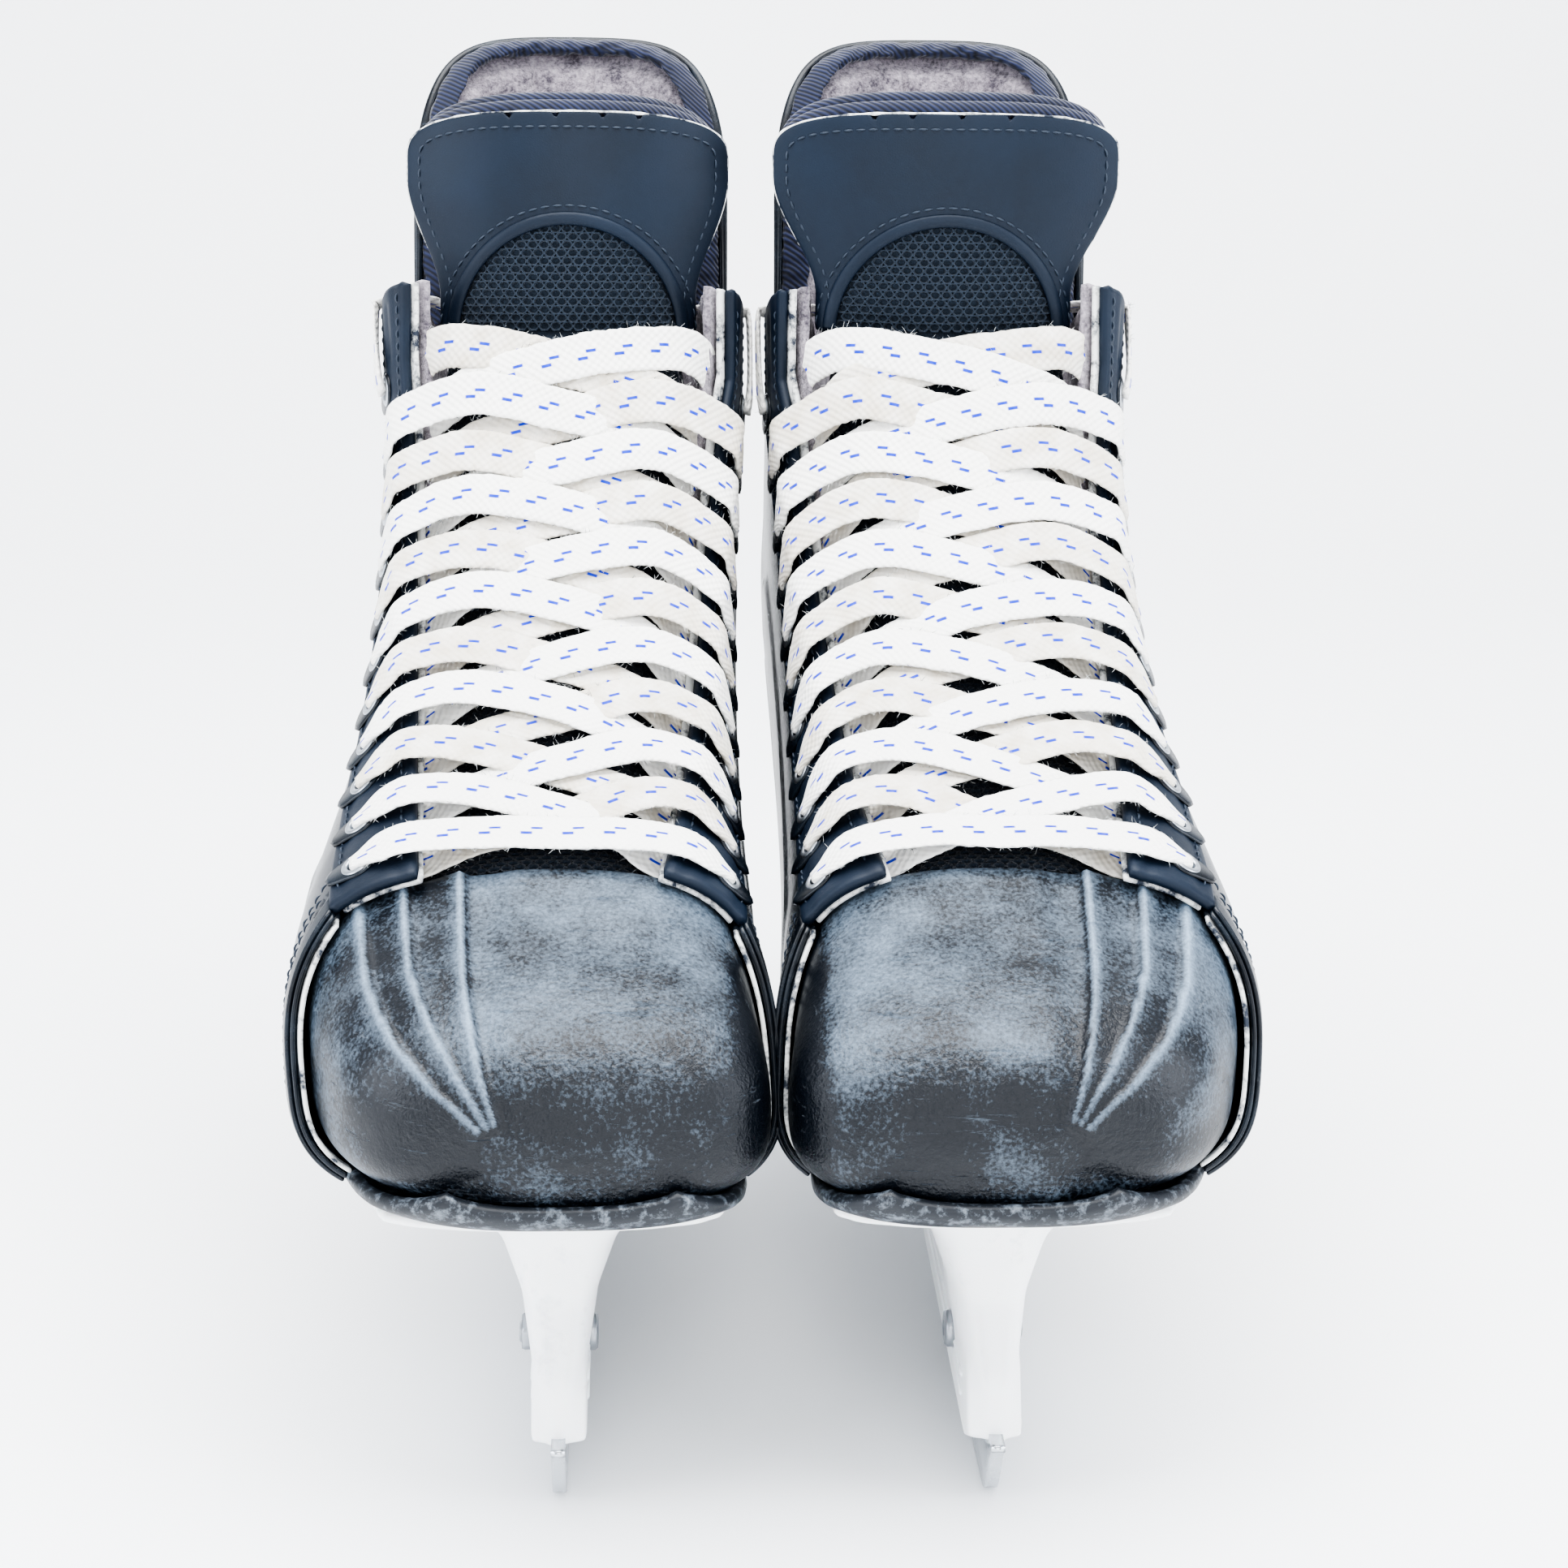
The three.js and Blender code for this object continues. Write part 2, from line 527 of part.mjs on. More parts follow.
const GUARD_HALF = 42.5;
const GUARD_DEPTH = 33;
const GUARD_LIFT = 0.9; // its foot, above the collar
const GUARD_LEAN = 9; // how much further back its top is than its foot
const GUARD_WRAP = degToRad(78);
const guardFootY = rim.yo + QUARTER_WALL;

function guardPoint(u, across, inward) {
  const turn = across * GUARD_WRAP;
  const y = guardFootY - GUARD_DEPTH + (GUARD_DEPTH - inward) * Math.cos(turn);
  const foot = rim.zo + (guardFootY - y) * COLLAR_SLOPE + GUARD_LIFT;
  const top = GUARD_TOP_Z - 30 * Math.abs(across) ** 4;
  return v3((GUARD_HALF - inward) * Math.sin(turn), y + GUARD_LEAN * u * u, lerp(foot, top, u));
}

const guardSheet = (inward, thickness, nu, nv) =>
  wall(
    (u, v) => guardPoint(u, lerp(-1, 1, v), inward),
    (u, v) => guardPoint(u, lerp(-1, 1, v), inward + thickness),
    nu,
    nv,
  );
const guardShell = () => guardSheet(0, GUARD_WALL, 4, 8);
const guardPad = () => guardSheet(GUARD_WALL + GAP, GUARD_PAD, 4, 8);

// ---------------------------------------------------------------- blade holder and runner

// The runner's side view, grown by a clearance for the slot that holds it.
function runnerOutline(grow) {
  const half = RUNNER_LENGTH / 2 + grow;
  const flat = RUNNER_FLAT / 2;
  const edge = (y) => Math.max(0, Math.abs(y) - flat) ** 2 / (2 * ROCKER_RADIUS) - grow;
  const nose = (y) => 16 * smoothstep(Math.abs(y), half - 17, half) ** 1.6;
  const rear = [flat / half, 0.62, 0.8, 0.91, 0.955, 0.985, 1];
  const shares = [...rear.toReversed().map((share) => -share), ...rear];
  const points = shares.map((share) => [share * half, edge(share * half) + nose(share * half)]);
  const top = RAIL_BOTTOM + 6 + grow;
  const lug = (y) => [
    [y + 11 + grow, top],
    [y + 8 + grow, BOLT_Z + 6 + grow],
    [y - 8 - grow, BOLT_Z + 6 + grow],
    [y - 11 - grow, top],
  ];
  return [...points, [half, top], ...lug(REAR_BOLT_Y), ...lug(FRONT_BOLT_Y), [-half, top]];
}

function runner() {
  const holes = [FRONT_BOLT_Y, REAR_BOLT_Y].map((y) => rod(BOLT_R + BOLT_CLEARANCE, -5, 5, y, BOLT_Z, 8));
  return toGeometry(cut(toSolid(plate(runnerOutline(0), RUNNER_THICKNESS)), holes));
}

// A rounded rectangle in plan.
function planRing(z, yMiddle, halfLength, halfWidth, sides = 12) {
  const round = 2 / 3.4;
  return Array.from({ length: sides }, (_, j) => {
    const a = (j / sides) * 2 * Math.PI;
    const x = Math.sign(Math.cos(a)) * Math.abs(Math.cos(a)) ** round * halfWidth;
    const y = Math.sign(Math.sin(a)) * Math.abs(Math.sin(a)) ** round * halfLength;
    return v3(x, yMiddle + y, z);
  });
}

const FRONT_FLANGE = [3.1, 5.9]; // the sections that each flange spans
const REAR_FLANGE = [8.55, HEEL_END - 0.2];

function holder() {
  const flangeOut = OUTSOLE_IN + OUTSOLE_WALL + LAYER_GAP + FLANGE_WALL;
  const flange = ([from, to]) => soleSheet(flangeOut, FLANGE_WALL, from, to, degToRad(36), 4, 4);
  const front = loft([
    planRing(RAIL_BOTTOM + 4, -92, 37, RAIL_THICKNESS / 2 - 0.5),
    planRing(30, -90, 36, 6.6),
    planRing(44, -85, 33, 9),
    planRing(57, -83, 34, 14),
    planRing(66, -82, 37, 22),
  ]);
  const rear = loft([
    planRing(RAIL_BOTTOM + 4, 96, 36, RAIL_THICKNESS / 2 - 0.5),
    planRing(32, 96, 34, 6.6),
    planRing(50, 96, 28, 9),
    planRing(66, 96, 28, 13),
    planRing(76.5, 96, 30, 20),
  ]);
  const half = RUNNER_LENGTH / 2;
  const rail = plate(
    [
      [-half + 6, RAIL_BOTTOM + 5],
      [-half + 16, RAIL_BOTTOM],
      [half - 16, RAIL_BOTTOM],
      [half - 5, RAIL_BOTTOM + 5],
      [half - 8, RAIL_TOP + 3],
      [60, RAIL_TOP],
      [-50, RAIL_TOP],
      [-half + 14, RAIL_TOP + 3],
    ],
    RAIL_THICKNESS,
  );
  const body = joined([front, rear, rail, flange(FRONT_FLANGE), flange(REAR_FLANGE)]);
  const slot = plate(runnerOutline(GAP), RUNNER_THICKNESS + 2 * GAP);
  const beyond = half + 9;
  const below = [
    [-beyond, -9],
    [beyond, -9],
    [beyond, RAIL_BOTTOM],
    [-beyond, RAIL_BOTTOM],
  ];
  const under = plate(below, 60);
  const bores = [FRONT_BOLT_Y, REAR_BOLT_Y].map((y) => rod(BOLT_R + BOLT_CLEARANCE, -30, 30, y, BOLT_Z, 8));
  const seats = [FRONT_BOLT_Y, REAR_BOLT_Y].flatMap((y) => [
    rod(BOLT_HEAD_R + SEAT_CLEARANCE, SEAT_X, 30, y, BOLT_Z, 12),
    rod(NUT_ACROSS_CORNERS / 2 + SEAT_CLEARANCE, -30, -SEAT_X, y, BOLT_Z, 12),
  ]);
  return toGeometry(cut(body, [slot, under, ...bores, ...seats]));
}

const bolt = (y) => {
  const head = rod(BOLT_HEAD_R, SEAT_X + GAP, SEAT_X + GAP + BOLT_HEAD_H, y, BOLT_Z, 10);
  const shank = rod(BOLT_R, -SEAT_X - GAP - NUT_H - 1, SEAT_X + 1, y, BOLT_Z, 8);
  return toGeometry(joined([head, shank]));
};
const nut = (y) => {
  const hex = rod(NUT_ACROSS_CORNERS / 2, -SEAT_X - GAP - NUT_H, -SEAT_X - GAP, y, BOLT_Z, 6);
  return toGeometry(cut(toSolid(hex), [rod(BOLT_R + BOLT_CLEARANCE, -30, 0, y, BOLT_Z, 8)]));
};

// ---------------------------------------------------------------- lace

const LACE_OVER = QUARTER_IN + EYESTAY_WALL + LAYER_GAP + LACE_THICKNESS / 2; // its middle, over an eyestay
const LACE_UNDER = -LAYER_GAP - LACE_THICKNESS / 2; // and under one

// A stretch of flat lace through stops that each have a place and an outward direction.
function ribbon(stops, width = LACE_WIDTH) {
  const rings = stops.map(({ at, up }, i) => {
    const ahead = stops[Math.min(i + 1, stops.length - 1)].at;
    const behind = stops[Math.max(i - 1, 0)].at;
    const way = ahead.clone().sub(behind).normalize();
    const side = way.clone().cross(up).normalize();
    const out = side.clone().cross(way).normalize();
    const corner = (a, b) =>
      at.clone().addScaledVector(side, (a * width) / 2).addScaledVector(out, (b * LACE_THICKNESS) / 2);
    return [corner(-1, -1), corner(1, -1), corner(1, 1), corner(-1, 1)];
  });
  return loft(rings);
}

const stopAt = (s, turn, out) => ({ at: layer(s, turn, out), up: outward(s, turn) });

// A stop over the tongue, at a share of the way from the middle to the eyestay's edge.
const overTongue = (s, share, out) => {
  const side = share < 0 ? -1 : 1;
  return stopAt(s, turnAt(s, Math.abs(share) * facingEdge(s, side), side), out);
};
const byFacing = (s, side, back, out) => stopAt(s, facingTurn(s, side, back), out);

const LACE_END = EYELET_INSET + 2.2; // how far past the eyestay's edge the flat lace reaches
const LACE_LOW = 1.1; // its middle, from the form, where it lies on the tongue
const LACE_HIGH = LACE_LOW + LACE_THICKNESS + 0.5; // and where it crosses over the other strand

// From under the facing at one eyelet, up across the tongue, to over the facing at the next eyelet opposite.
function span(from, to, side, cross) {
  return ribbon([
    byFacing(from, side, LACE_END, LACE_UNDER),
    byFacing(from, side, -2, LACE_UNDER + 0.2),
    overTongue(lerp(from, to, 0.1), side * 0.6, LACE_LOW),
    overTongue(lerp(from, to, 0.5), 0, cross),
    overTongue(lerp(from, to, 0.93), -side * 0.6, LACE_LOW + 3),
    byFacing(to, -side, 0, LACE_OVER + 0.8),
    byFacing(to, -side, 6, LACE_OVER + 0.4),
    byFacing(to, -side, LACE_END, LACE_OVER),
  ]);
}

// The top strands come up under both facings, and out through the top eyelets.
function topSpan(from, to, side, cross) {
  return ribbon([
    byFacing(from, side, LACE_END, LACE_UNDER),
    byFacing(from, side, -2, LACE_UNDER + 0.2),
    overTongue(lerp(from, to, 0.2), side * 0.6, LACE_LOW),
    overTongue(lerp(from, to, 0.5), 0, cross),
    overTongue(lerp(from, to, 0.8), -side * 0.6, LACE_LOW),
    byFacing(to, -side, -2, LACE_UNDER + 0.2),
    byFacing(to, -side, LACE_END, LACE_UNDER),
  ]);
}

// An end of the lace, from the top eyelet up over the collar, and tucked in beside the padding.
function tail(side) {
  const turn = facingTurn(COLLAR, side, TAIL_BACK);
  const over = (out, lift) => layer(COLLAR, turn, out).addScaledVector(COLLAR_UP, lift);
  const inside = -PAD_GAP - PAD_WALL - LACE_THICKNESS / 2;
  const lift = LAYER_GAP + LACE_THICKNESS;
  const stops = [
    byFacing(LAST_EYELET - 0.08, side, EYELET_INSET - 1, LACE_OVER),
    byFacing(LAST_EYELET + 0.5, side, EYELET_INSET + 2, LACE_OVER + 0.4),
    { at: over(LACE_OVER, 0), up: outward(COLLAR, turn) },
    { at: over(LACE_OVER - 1.5, lift), up: COLLAR_UP },
    { at: over(inside + 1.5, lift), up: COLLAR_UP },
    { at: over(inside, 0), up: v3(-side, 0, 0) },
    { at: over(inside - 0.4, -LACE_TUCK), up: v3(-side, 0, 0) },
  ];
  return ribbon(stops, TAIL_WIDTH);
}

// The bunched lace inside an eyelet, from the stretch over the eyestay to the stretch under it.
function neck(s, side) {
  return post(s, facingTurn(s, side, EYELET_INSET), LACE_NECK, LACE_UNDER, LACE_OVER);
}

function lace() {
  const first = eyeletSections[0];
  const bar = ribbon([
    ...[LACE_END, 6, 0].map((back) => byFacing(first, -1, back, LACE_OVER)),
    overTongue(first, 0, LACE_OVER - 1.5),
    ...[0, 6, LACE_END].map((back) => byFacing(first, 1, back, LACE_OVER)),
  ]);
  const pieces = [bar, tail(-1), tail(1)];
  for (let row = 0; row < EYELETS - 1; row++)
    for (const side of [-1, 1]) {
      const shape = row === EYELETS - 2 ? topSpan : span;
      pieces.push(shape(eyeletSections[row], eyeletSections[row + 1], side, side > 0 ? LACE_HIGH : LACE_LOW));
    }
  for (const s of eyeletSections) for (const side of [-1, 1]) pieces.push(neck(s, side));
  return toGeometry(joined(pieces));
}

// ---------------------------------------------------------------- finishes

const finish = (colour, roughness, metalness = 0) =>
  new THREE.MeshStandardMaterial({ color: colour, roughness, metalness });
const scuffedPlastic = finish(0x2c3238, 0.45);
const quarterSkin = finish(0x23282e, 0.35);
const syntheticLeather = finish(0x1d232b, 0.6);
const meshFabric = finish(0x14181e, 0.85);
const greyFelt = finish(0x6e6670, 0.95);
const bindingCloth = finish(0x232838, 0.8);
const composite = finish(0x2a2c30, 0.4);
const board = finish(0x8a7a62, 0.9);
const foam = finish(0x3a3d44, 0.9);
const whiteNylon = finish(0xf0f2f2, 0.4);
const steel = finish(0xc4c8cc, 0.22, 1);
const zincSteel = finish(0xa9acb0, 0.35, 1);
const lacing = finish(0xf2f2ee, 0.9);

// ---------------------------------------------------------------- one skate

function skate(name, lean, curl) {
  const group = new THREE.Group();
  const add = (node, geometry, material, parent = group) => {
    const mesh = new THREE.Mesh(geometry, material);
    mesh.name = `${name}_${node}`;
    parent.add(mesh);
  };
  add("toe_cap", toeCap(), scuffedPlastic);
  add("toe_liner", toeLiner(), greyFelt);
  add("outer_quarter", quarter(-1), quarterSkin);
  add("inner_quarter", quarter(1), quarterSkin);
  add("outer_eyestay", eyestay(-1), syntheticLeather);
  add("inner_eyestay", eyestay(1), syntheticLeather);
  add("outer_ankle_pad", anklePad(-1), greyFelt);
  add("inner_ankle_pad", anklePad(1), greyFelt);
  add("heel_pad", heelPad(), greyFelt);
  add("backstay", backstay(), quarterSkin);
  add("outsole", outsole(), composite);
  add("insole_board", insoleBoard(), board);
  add("footbed", footbed(), foam);
  add("tongue_pad", tonguePad(), greyFelt);
  add("tongue_face", tongueFace(), meshFabric);
  add("tendon_guard", guardShell(), quarterSkin);
  add("tendon_guard_pad", guardPad(), greyFelt);
  add("blade_holder", holder(), whiteNylon);
  add("runner", runner(), steel);
  add("front_runner_bolt", bolt(FRONT_BOLT_Y), zincSteel);
  add("front_runner_nut", nut(FRONT_BOLT_Y), zincSteel);
  add("rear_runner_bolt", bolt(REAR_BOLT_Y), zincSteel);
  add("rear_runner_nut", nut(REAR_BOLT_Y), zincSteel);
  add("lace", lace(), lacing);

  const flap = new THREE.Group();
  const pivot = v3(0, hingePoint.y, hingePoint.z);
  flap.position.copy(pivot);
  flap.rotation.x = lean;
  group.add(flap);
  const fromPivot = (geometry) => geometry.translate(-pivot.x, -pivot.y, -pivot.z);
  add("tongue_flap_pad", fromPivot(flapPad(curl)), greyFelt, flap);
  add("tongue_flap_face", fromPivot(flapFace(curl)), syntheticLeather, flap);
  add("tongue_flap_mesh", fromPivot(flapMesh(curl)), meshFabric, flap);
  add("tongue_flap_binding", fromPivot(flapBinding(curl)), bindingCloth, flap);
  return group;
}

const pair = new THREE.Group();
const right = skate("right", 0, RIGHT_CURL);
const left = skate("left", LEFT_TONGUE_LEAN, LEFT_CURL);
const innerReach = (one) => new THREE.Box3().setFromObject(one, true).max.x;
right.position.x = -innerReach(right) - PAIR_GAP / 2;
left.position.x = innerReach(left) + PAIR_GAP / 2;
left.scale.x = -1;
pair.add(right, left);

// The origin is on the ice, in the middle of the pair's length and width.
const middle = new THREE.Box3().setFromObject(pair, true).getCenter(v3(0, 0, 0));
for (const side of pair.children) side.position.sub(v3(middle.x, middle.y, 0));

export default pair;
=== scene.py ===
"""A pair of laced ice hockey skates standing on a pale studio floor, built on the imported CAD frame."""

import math
from functools import lru_cache

import bmesh
import bpy
import numpy as np
from mathutils import Matrix, Vector


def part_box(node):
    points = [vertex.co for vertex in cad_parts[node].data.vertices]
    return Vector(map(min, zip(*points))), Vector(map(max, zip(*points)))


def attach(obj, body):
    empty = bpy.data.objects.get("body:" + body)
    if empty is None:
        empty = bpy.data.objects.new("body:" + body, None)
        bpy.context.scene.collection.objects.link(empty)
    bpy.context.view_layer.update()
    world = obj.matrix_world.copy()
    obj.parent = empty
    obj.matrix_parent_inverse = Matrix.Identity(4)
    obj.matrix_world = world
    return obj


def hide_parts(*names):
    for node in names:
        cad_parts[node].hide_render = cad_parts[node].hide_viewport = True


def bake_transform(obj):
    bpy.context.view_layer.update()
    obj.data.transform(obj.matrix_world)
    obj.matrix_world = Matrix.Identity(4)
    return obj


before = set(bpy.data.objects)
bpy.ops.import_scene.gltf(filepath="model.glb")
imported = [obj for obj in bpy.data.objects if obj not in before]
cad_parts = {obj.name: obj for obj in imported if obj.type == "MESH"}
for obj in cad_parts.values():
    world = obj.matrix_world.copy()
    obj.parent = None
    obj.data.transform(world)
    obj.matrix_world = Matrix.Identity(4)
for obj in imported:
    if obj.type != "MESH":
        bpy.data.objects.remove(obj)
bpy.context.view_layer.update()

# ---------------------------------------------------------------- camera
# The pair is seen from in front of the toes, at about knee height, looking down on the laces.
CAMERA_AT = Vector((-0.0301, -0.7589, 0.3607))
CAMERA_YAW = math.radians(2.7)
CAMERA_PITCH = math.radians(17.1)
CAMERA_ROLL = math.radians(0.7)
ahead = Vector(
    (
        math.sin(CAMERA_YAW) * math.cos(CAMERA_PITCH),
        math.cos(CAMERA_YAW) * math.cos(CAMERA_PITCH),
        -math.sin(CAMERA_PITCH),
    )
)
level_right = ahead.cross(Vector((0, 0, 1))).normalized()
level_up = level_right.cross(ahead)
right = level_right * math.cos(CAMERA_ROLL) + level_up * math.sin(CAMERA_ROLL)
up = level_up * math.cos(CAMERA_ROLL) - level_right * math.sin(CAMERA_ROLL)
camera = bpy.data.objects.new("camera", bpy.data.cameras.new("camera"))
camera.data.lens = 74.5
camera.data.clip_start = 0.05
camera.matrix_world = Matrix.Translation(CAMERA_AT) @ Matrix((right, up, -ahead)).transposed().to_4x4()
bpy.context.scene.collection.objects.link(camera)
bpy.context.scene.camera = camera

# ---------------------------------------------------------------- studio
# A matt white floor that runs up into a white backdrop, in soft white light from a wide lamp overhead, a window
# on each side and a bounce from in front.


def linear(colour):
    """An sRGB hex colour as linear red, green, blue and full alpha."""
    parts = [((colour >> shift) & 255) / 255 for shift in (16, 8, 0)]
    return (*[p / 12.92 if p <= 0.04045 else ((p + 0.055) / 1.055) ** 2.4 for p in parts], 1)


def add(tree, kind, inputs=None, **settings):
    """Adds a shader node with its settings, and gives its inputs their values or links."""
    made = tree.nodes.new("ShaderNode" + kind)
    for key, value in settings.items():
        setattr(made, key, value)
    for key, value in (inputs or {}).items():
        if isinstance(value, bpy.types.NodeSocket):
            tree.links.new(value, made.inputs[key])
        else:
            made.inputs[key].default_value = value
    return made


def finish(name, colour, roughness, **sockets):
    """A new material, with its colour, roughness and other Principled sockets set: (material, tree, shader)."""
    material = bpy.data.materials.new(name)
    material.use_nodes = True
    shader = material.node_tree.nodes["Principled BSDF"]
    shader.inputs["Base Color"].default_value = linear(colour)
    shader.inputs["Roughness"].default_value = roughness
    for key, value in sockets.items():
        shader.inputs[key.replace("_", " ")].default_value = value
    return material, material.node_tree, shader


MM = 0.001
floor_paint, _, _ = finish("matt_white_backdrop_paper", 0xFAFBFC, 0.9, Specular_IOR_Level=0.1)
FLOOR_HALF = 2.5
BACKDROP_Y = 1.3
SWEEP_R = 0.6
sweep = [(-FLOOR_HALF, 0.0), (BACKDROP_Y - SWEEP_R, 0.0)]
for step in range(1, 13):
    turn = math.pi / 2 * step / 12
    sweep.append((BACKDROP_Y - SWEEP_R + SWEEP_R * math.sin(turn), SWEEP_R * (1 - math.cos(turn))))
sweep.append((BACKDROP_Y, 2.4))
backdrop_points = [(x, y, z) for y, z in sweep for x in (-FLOOR_HALF, FLOOR_HALF)]
backdrop_faces = [(2 * i, 2 * i + 1, 2 * i + 3, 2 * i + 2) for i in range(len(sweep) - 1)]
backdrop_mesh = bpy.data.meshes.new("backdrop")
backdrop_mesh.from_pydata(backdrop_points, [], backdrop_faces)
backdrop_mesh.shade_smooth()
backdrop_mesh.materials.append(floor_paint)
backdrop = bpy.data.objects.new("backdrop", backdrop_mesh)
bpy.context.scene.collection.objects.link(backdrop)


def lamp(name, at, look_at, width, height, power, colour=0xFFFFFF):
    """A soft rectangular lamp that points at a place."""
    data = bpy.data.lights.new(name, "AREA")
    data.shape = "RECTANGLE"
    data.size, data.size_y = width, height
    data.energy = power
    data.color = linear(colour)[:3]
    made = bpy.data.objects.new(name, data)
    made.location = at
    made.rotation_mode = "QUATERNION"
    made.rotation_quaternion = (Vector(look_at) - Vector(at)).to_track_quat("-Z", "Y")
    bpy.context.scene.collection.objects.link(made)


lamp("overhead_softbox", (0.0, -0.1, 1.35), (0, 0, 0.1), 1.5, 1.1, 34)
lamp("front_bounce", (0.1, -1.7, 0.75), (0, 0, 0.12), 1.6, 0.9, 13)
lamp("left_window", (-1.3, -0.5, 0.6), (0, 0, 0.15), 0.9, 0.9, 11, 0xF4F8FF)
lamp("right_window", (1.3, -0.5, 0.6), (0, 0, 0.15), 0.9, 0.9, 11, 0xF4F8FF)
world = bpy.data.worlds.new("studio_air")
world.use_nodes = True
world.node_tree.nodes["Background"].inputs["Color"].default_value = linear(0xF6F9FF)
world.node_tree.nodes["Background"].inputs["Strength"].default_value = 0.75
bpy.context.scene.world = world
bpy.context.scene.view_settings.look = "AgX - High Contrast"

# ---------------------------------------------------------------- toe caps
# Each toe cap is injection moulded in a hard thermoplastic urethane over the last. Its front is pebbled and has
# been scuffed by the ice and the boards, and three moulded ribs sweep down its outer side to the toe.

# The last, as sections from the tip of the toe to the collar, in millimetres: the sole's or heel's middle (y, z),
# the instep's middle (y, z), the outer and inner half widths, the height of the widest point as a share, and how
# square the section is below and above that. All of the boot's layers are laid on it.
LAST = np.array(
    [
        (-141.5, 84, -141.5, 97, 15, 18, 0.5, 2.2, 2.2),
        (-139.5, 78, -138, 105, 29, 33, 0.46, 2.7, 2.5),
        (-134, 75, -131.5, 112, 39, 41.5, 0.43, 3.0, 2.8),
        (-123, 73, -120, 117.5, 47.5, 45.4, 0.41, 3.2, 3.0),
        (-105, 72, -101, 124, 54, 44, 0.4, 3.3, 3.0),
        (-84, 71.5, -78, 133, 57, 42.2, 0.38, 3.3, 2.9),
        (-56, 71, -46, 146, 55.5, 40, 0.37, 3.2, 2.6),
        (-18, 73, -14, 163, 50, 38.5, 0.38, 3.0, 2.7),
        (34, 78, 12, 183, 46, 38, 0.42, 2.9, 3.0),
        (92, 83, 31, 202, 44, 38.5, 0.47, 2.7, 3.6),
        (131, 91, 41, 216, 43, 39.5, 0.5, 2.4, 4.3),
        (137.5, 117, 47, 227, 43, 40, 0.5, 2.3, 4.6),
        (129, 162, 50.5, 236, 43, 40, 0.5, 2.3, 4.8),
        (125, 204, 52, 243, 43, 40, 0.5, 2.3, 5),
    ]
)
COLLAR = len(LAST) - 1
FEET = ("right", "left")
BOOT = "boots_and_blades"


def mix(a, b, share):
    return a + (b - a) * share


def circle(count):
    """Evenly spaced angles once round."""
    return np.linspace(0, 2 * math.pi, count, endpoint=False)


def grid_of(rows, columns):
    """Two lists of values as two grids, one value to a row and one to a column."""
    return np.meshgrid(rows, columns, indexing="ij")


def ease(value, low, high):
    """0 below low, 1 above high, and a smooth rise between."""
    t = np.clip((value - low) / (high - low), 0, 1)
    return t * t * (3 - 2 * t)


def spline(a, b, c, d, t):
    """The point a share t of the way from b to c on the smooth curve through a, b, c and d."""
    return 0.5 * (2 * b + (c - a) * t + (2 * a - 5 * b + 4 * c - d) * t**2 + (3 * b - a - 3 * c + d) * t**3)


def section(s):
    s = np.clip(np.asarray(s, float), 0, COLLAR)
    i = np.minimum(s.astype(int), COLLAR - 1)
    t = (s - i)[..., None]
    a, b, c, d = (LAST[np.clip(i + k, 0, COLLAR)] for k in (-1, 0, 1, 2))
    return spline(a, b, c, d, t)


def last_point(s, turn):
    """The last's surface at a section and a turn: 0 at the sole, a quarter turn to the inner side."""
    s, turn = np.broadcast_arrays(np.asarray(s, float), np.asarray(turn, float))
    yo, zo, yi, zi, outer, inner, m, below, above = np.moveaxis(section(s), -1, 0)
    c, t = np.cos(turn), np.sin(turn)
    power = 2 / np.where(c > 0, below, above)
    rise = np.abs(c) ** power
    height = np.where(c > 0, m * (1 - rise), m + (1 - m) * rise)
    x = np.sign(t) * np.where(t > 0, inner, outer) * np.abs(t) ** power
    return np.stack([x, mix(yo, yi, height), mix(zo, zi, height)], -1)


def outward(s, turn):
    step = 0.03
    s, turn = np.broadcast_arrays(np.asarray(s, float), np.asarray(turn, float))
    along = last_point(np.minimum(s + step, COLLAR), turn) - last_point(np.maximum(s - step, 0), turn)
    around = last_point(s, turn + step) - last_point(s, turn - step)
    normal = np.cross(along, around)
    return normal / np.linalg.norm(normal, axis=-1, keepdims=True)


def layer(s, turn, out):
    """The last's surface moved outwards by out millimetres."""
    return last_point(s, turn) + outward(s, turn) * np.asarray(out, float)[..., None]


@lru_cache(None)
def even_turns(s, start, end, count):
    """count + 1 turns from start to end that lie evenly spaced round a section."""
    fine = np.linspace(start, end, 241)
    points = last_point(s, fine)
    run = np.concatenate([[0], np.cumsum(np.linalg.norm(np.diff(points, axis=0), axis=1))])
    return np.interp(np.linspace(0, run[-1], count + 1), run, fine)


def place(foot, points):
    """Points of the right skate's drawing, in metres where that foot's skate stands. The left is its mirror image."""
    low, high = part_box(foot + "_runner")
    mirror = 1 if foot == "right" else -1
    seat = np.array([(low.x + high.x) / 2, (low.y + high.y) / 2, 0])
    return np.asarray(points) * MM * (mirror, 1, 1) + seat


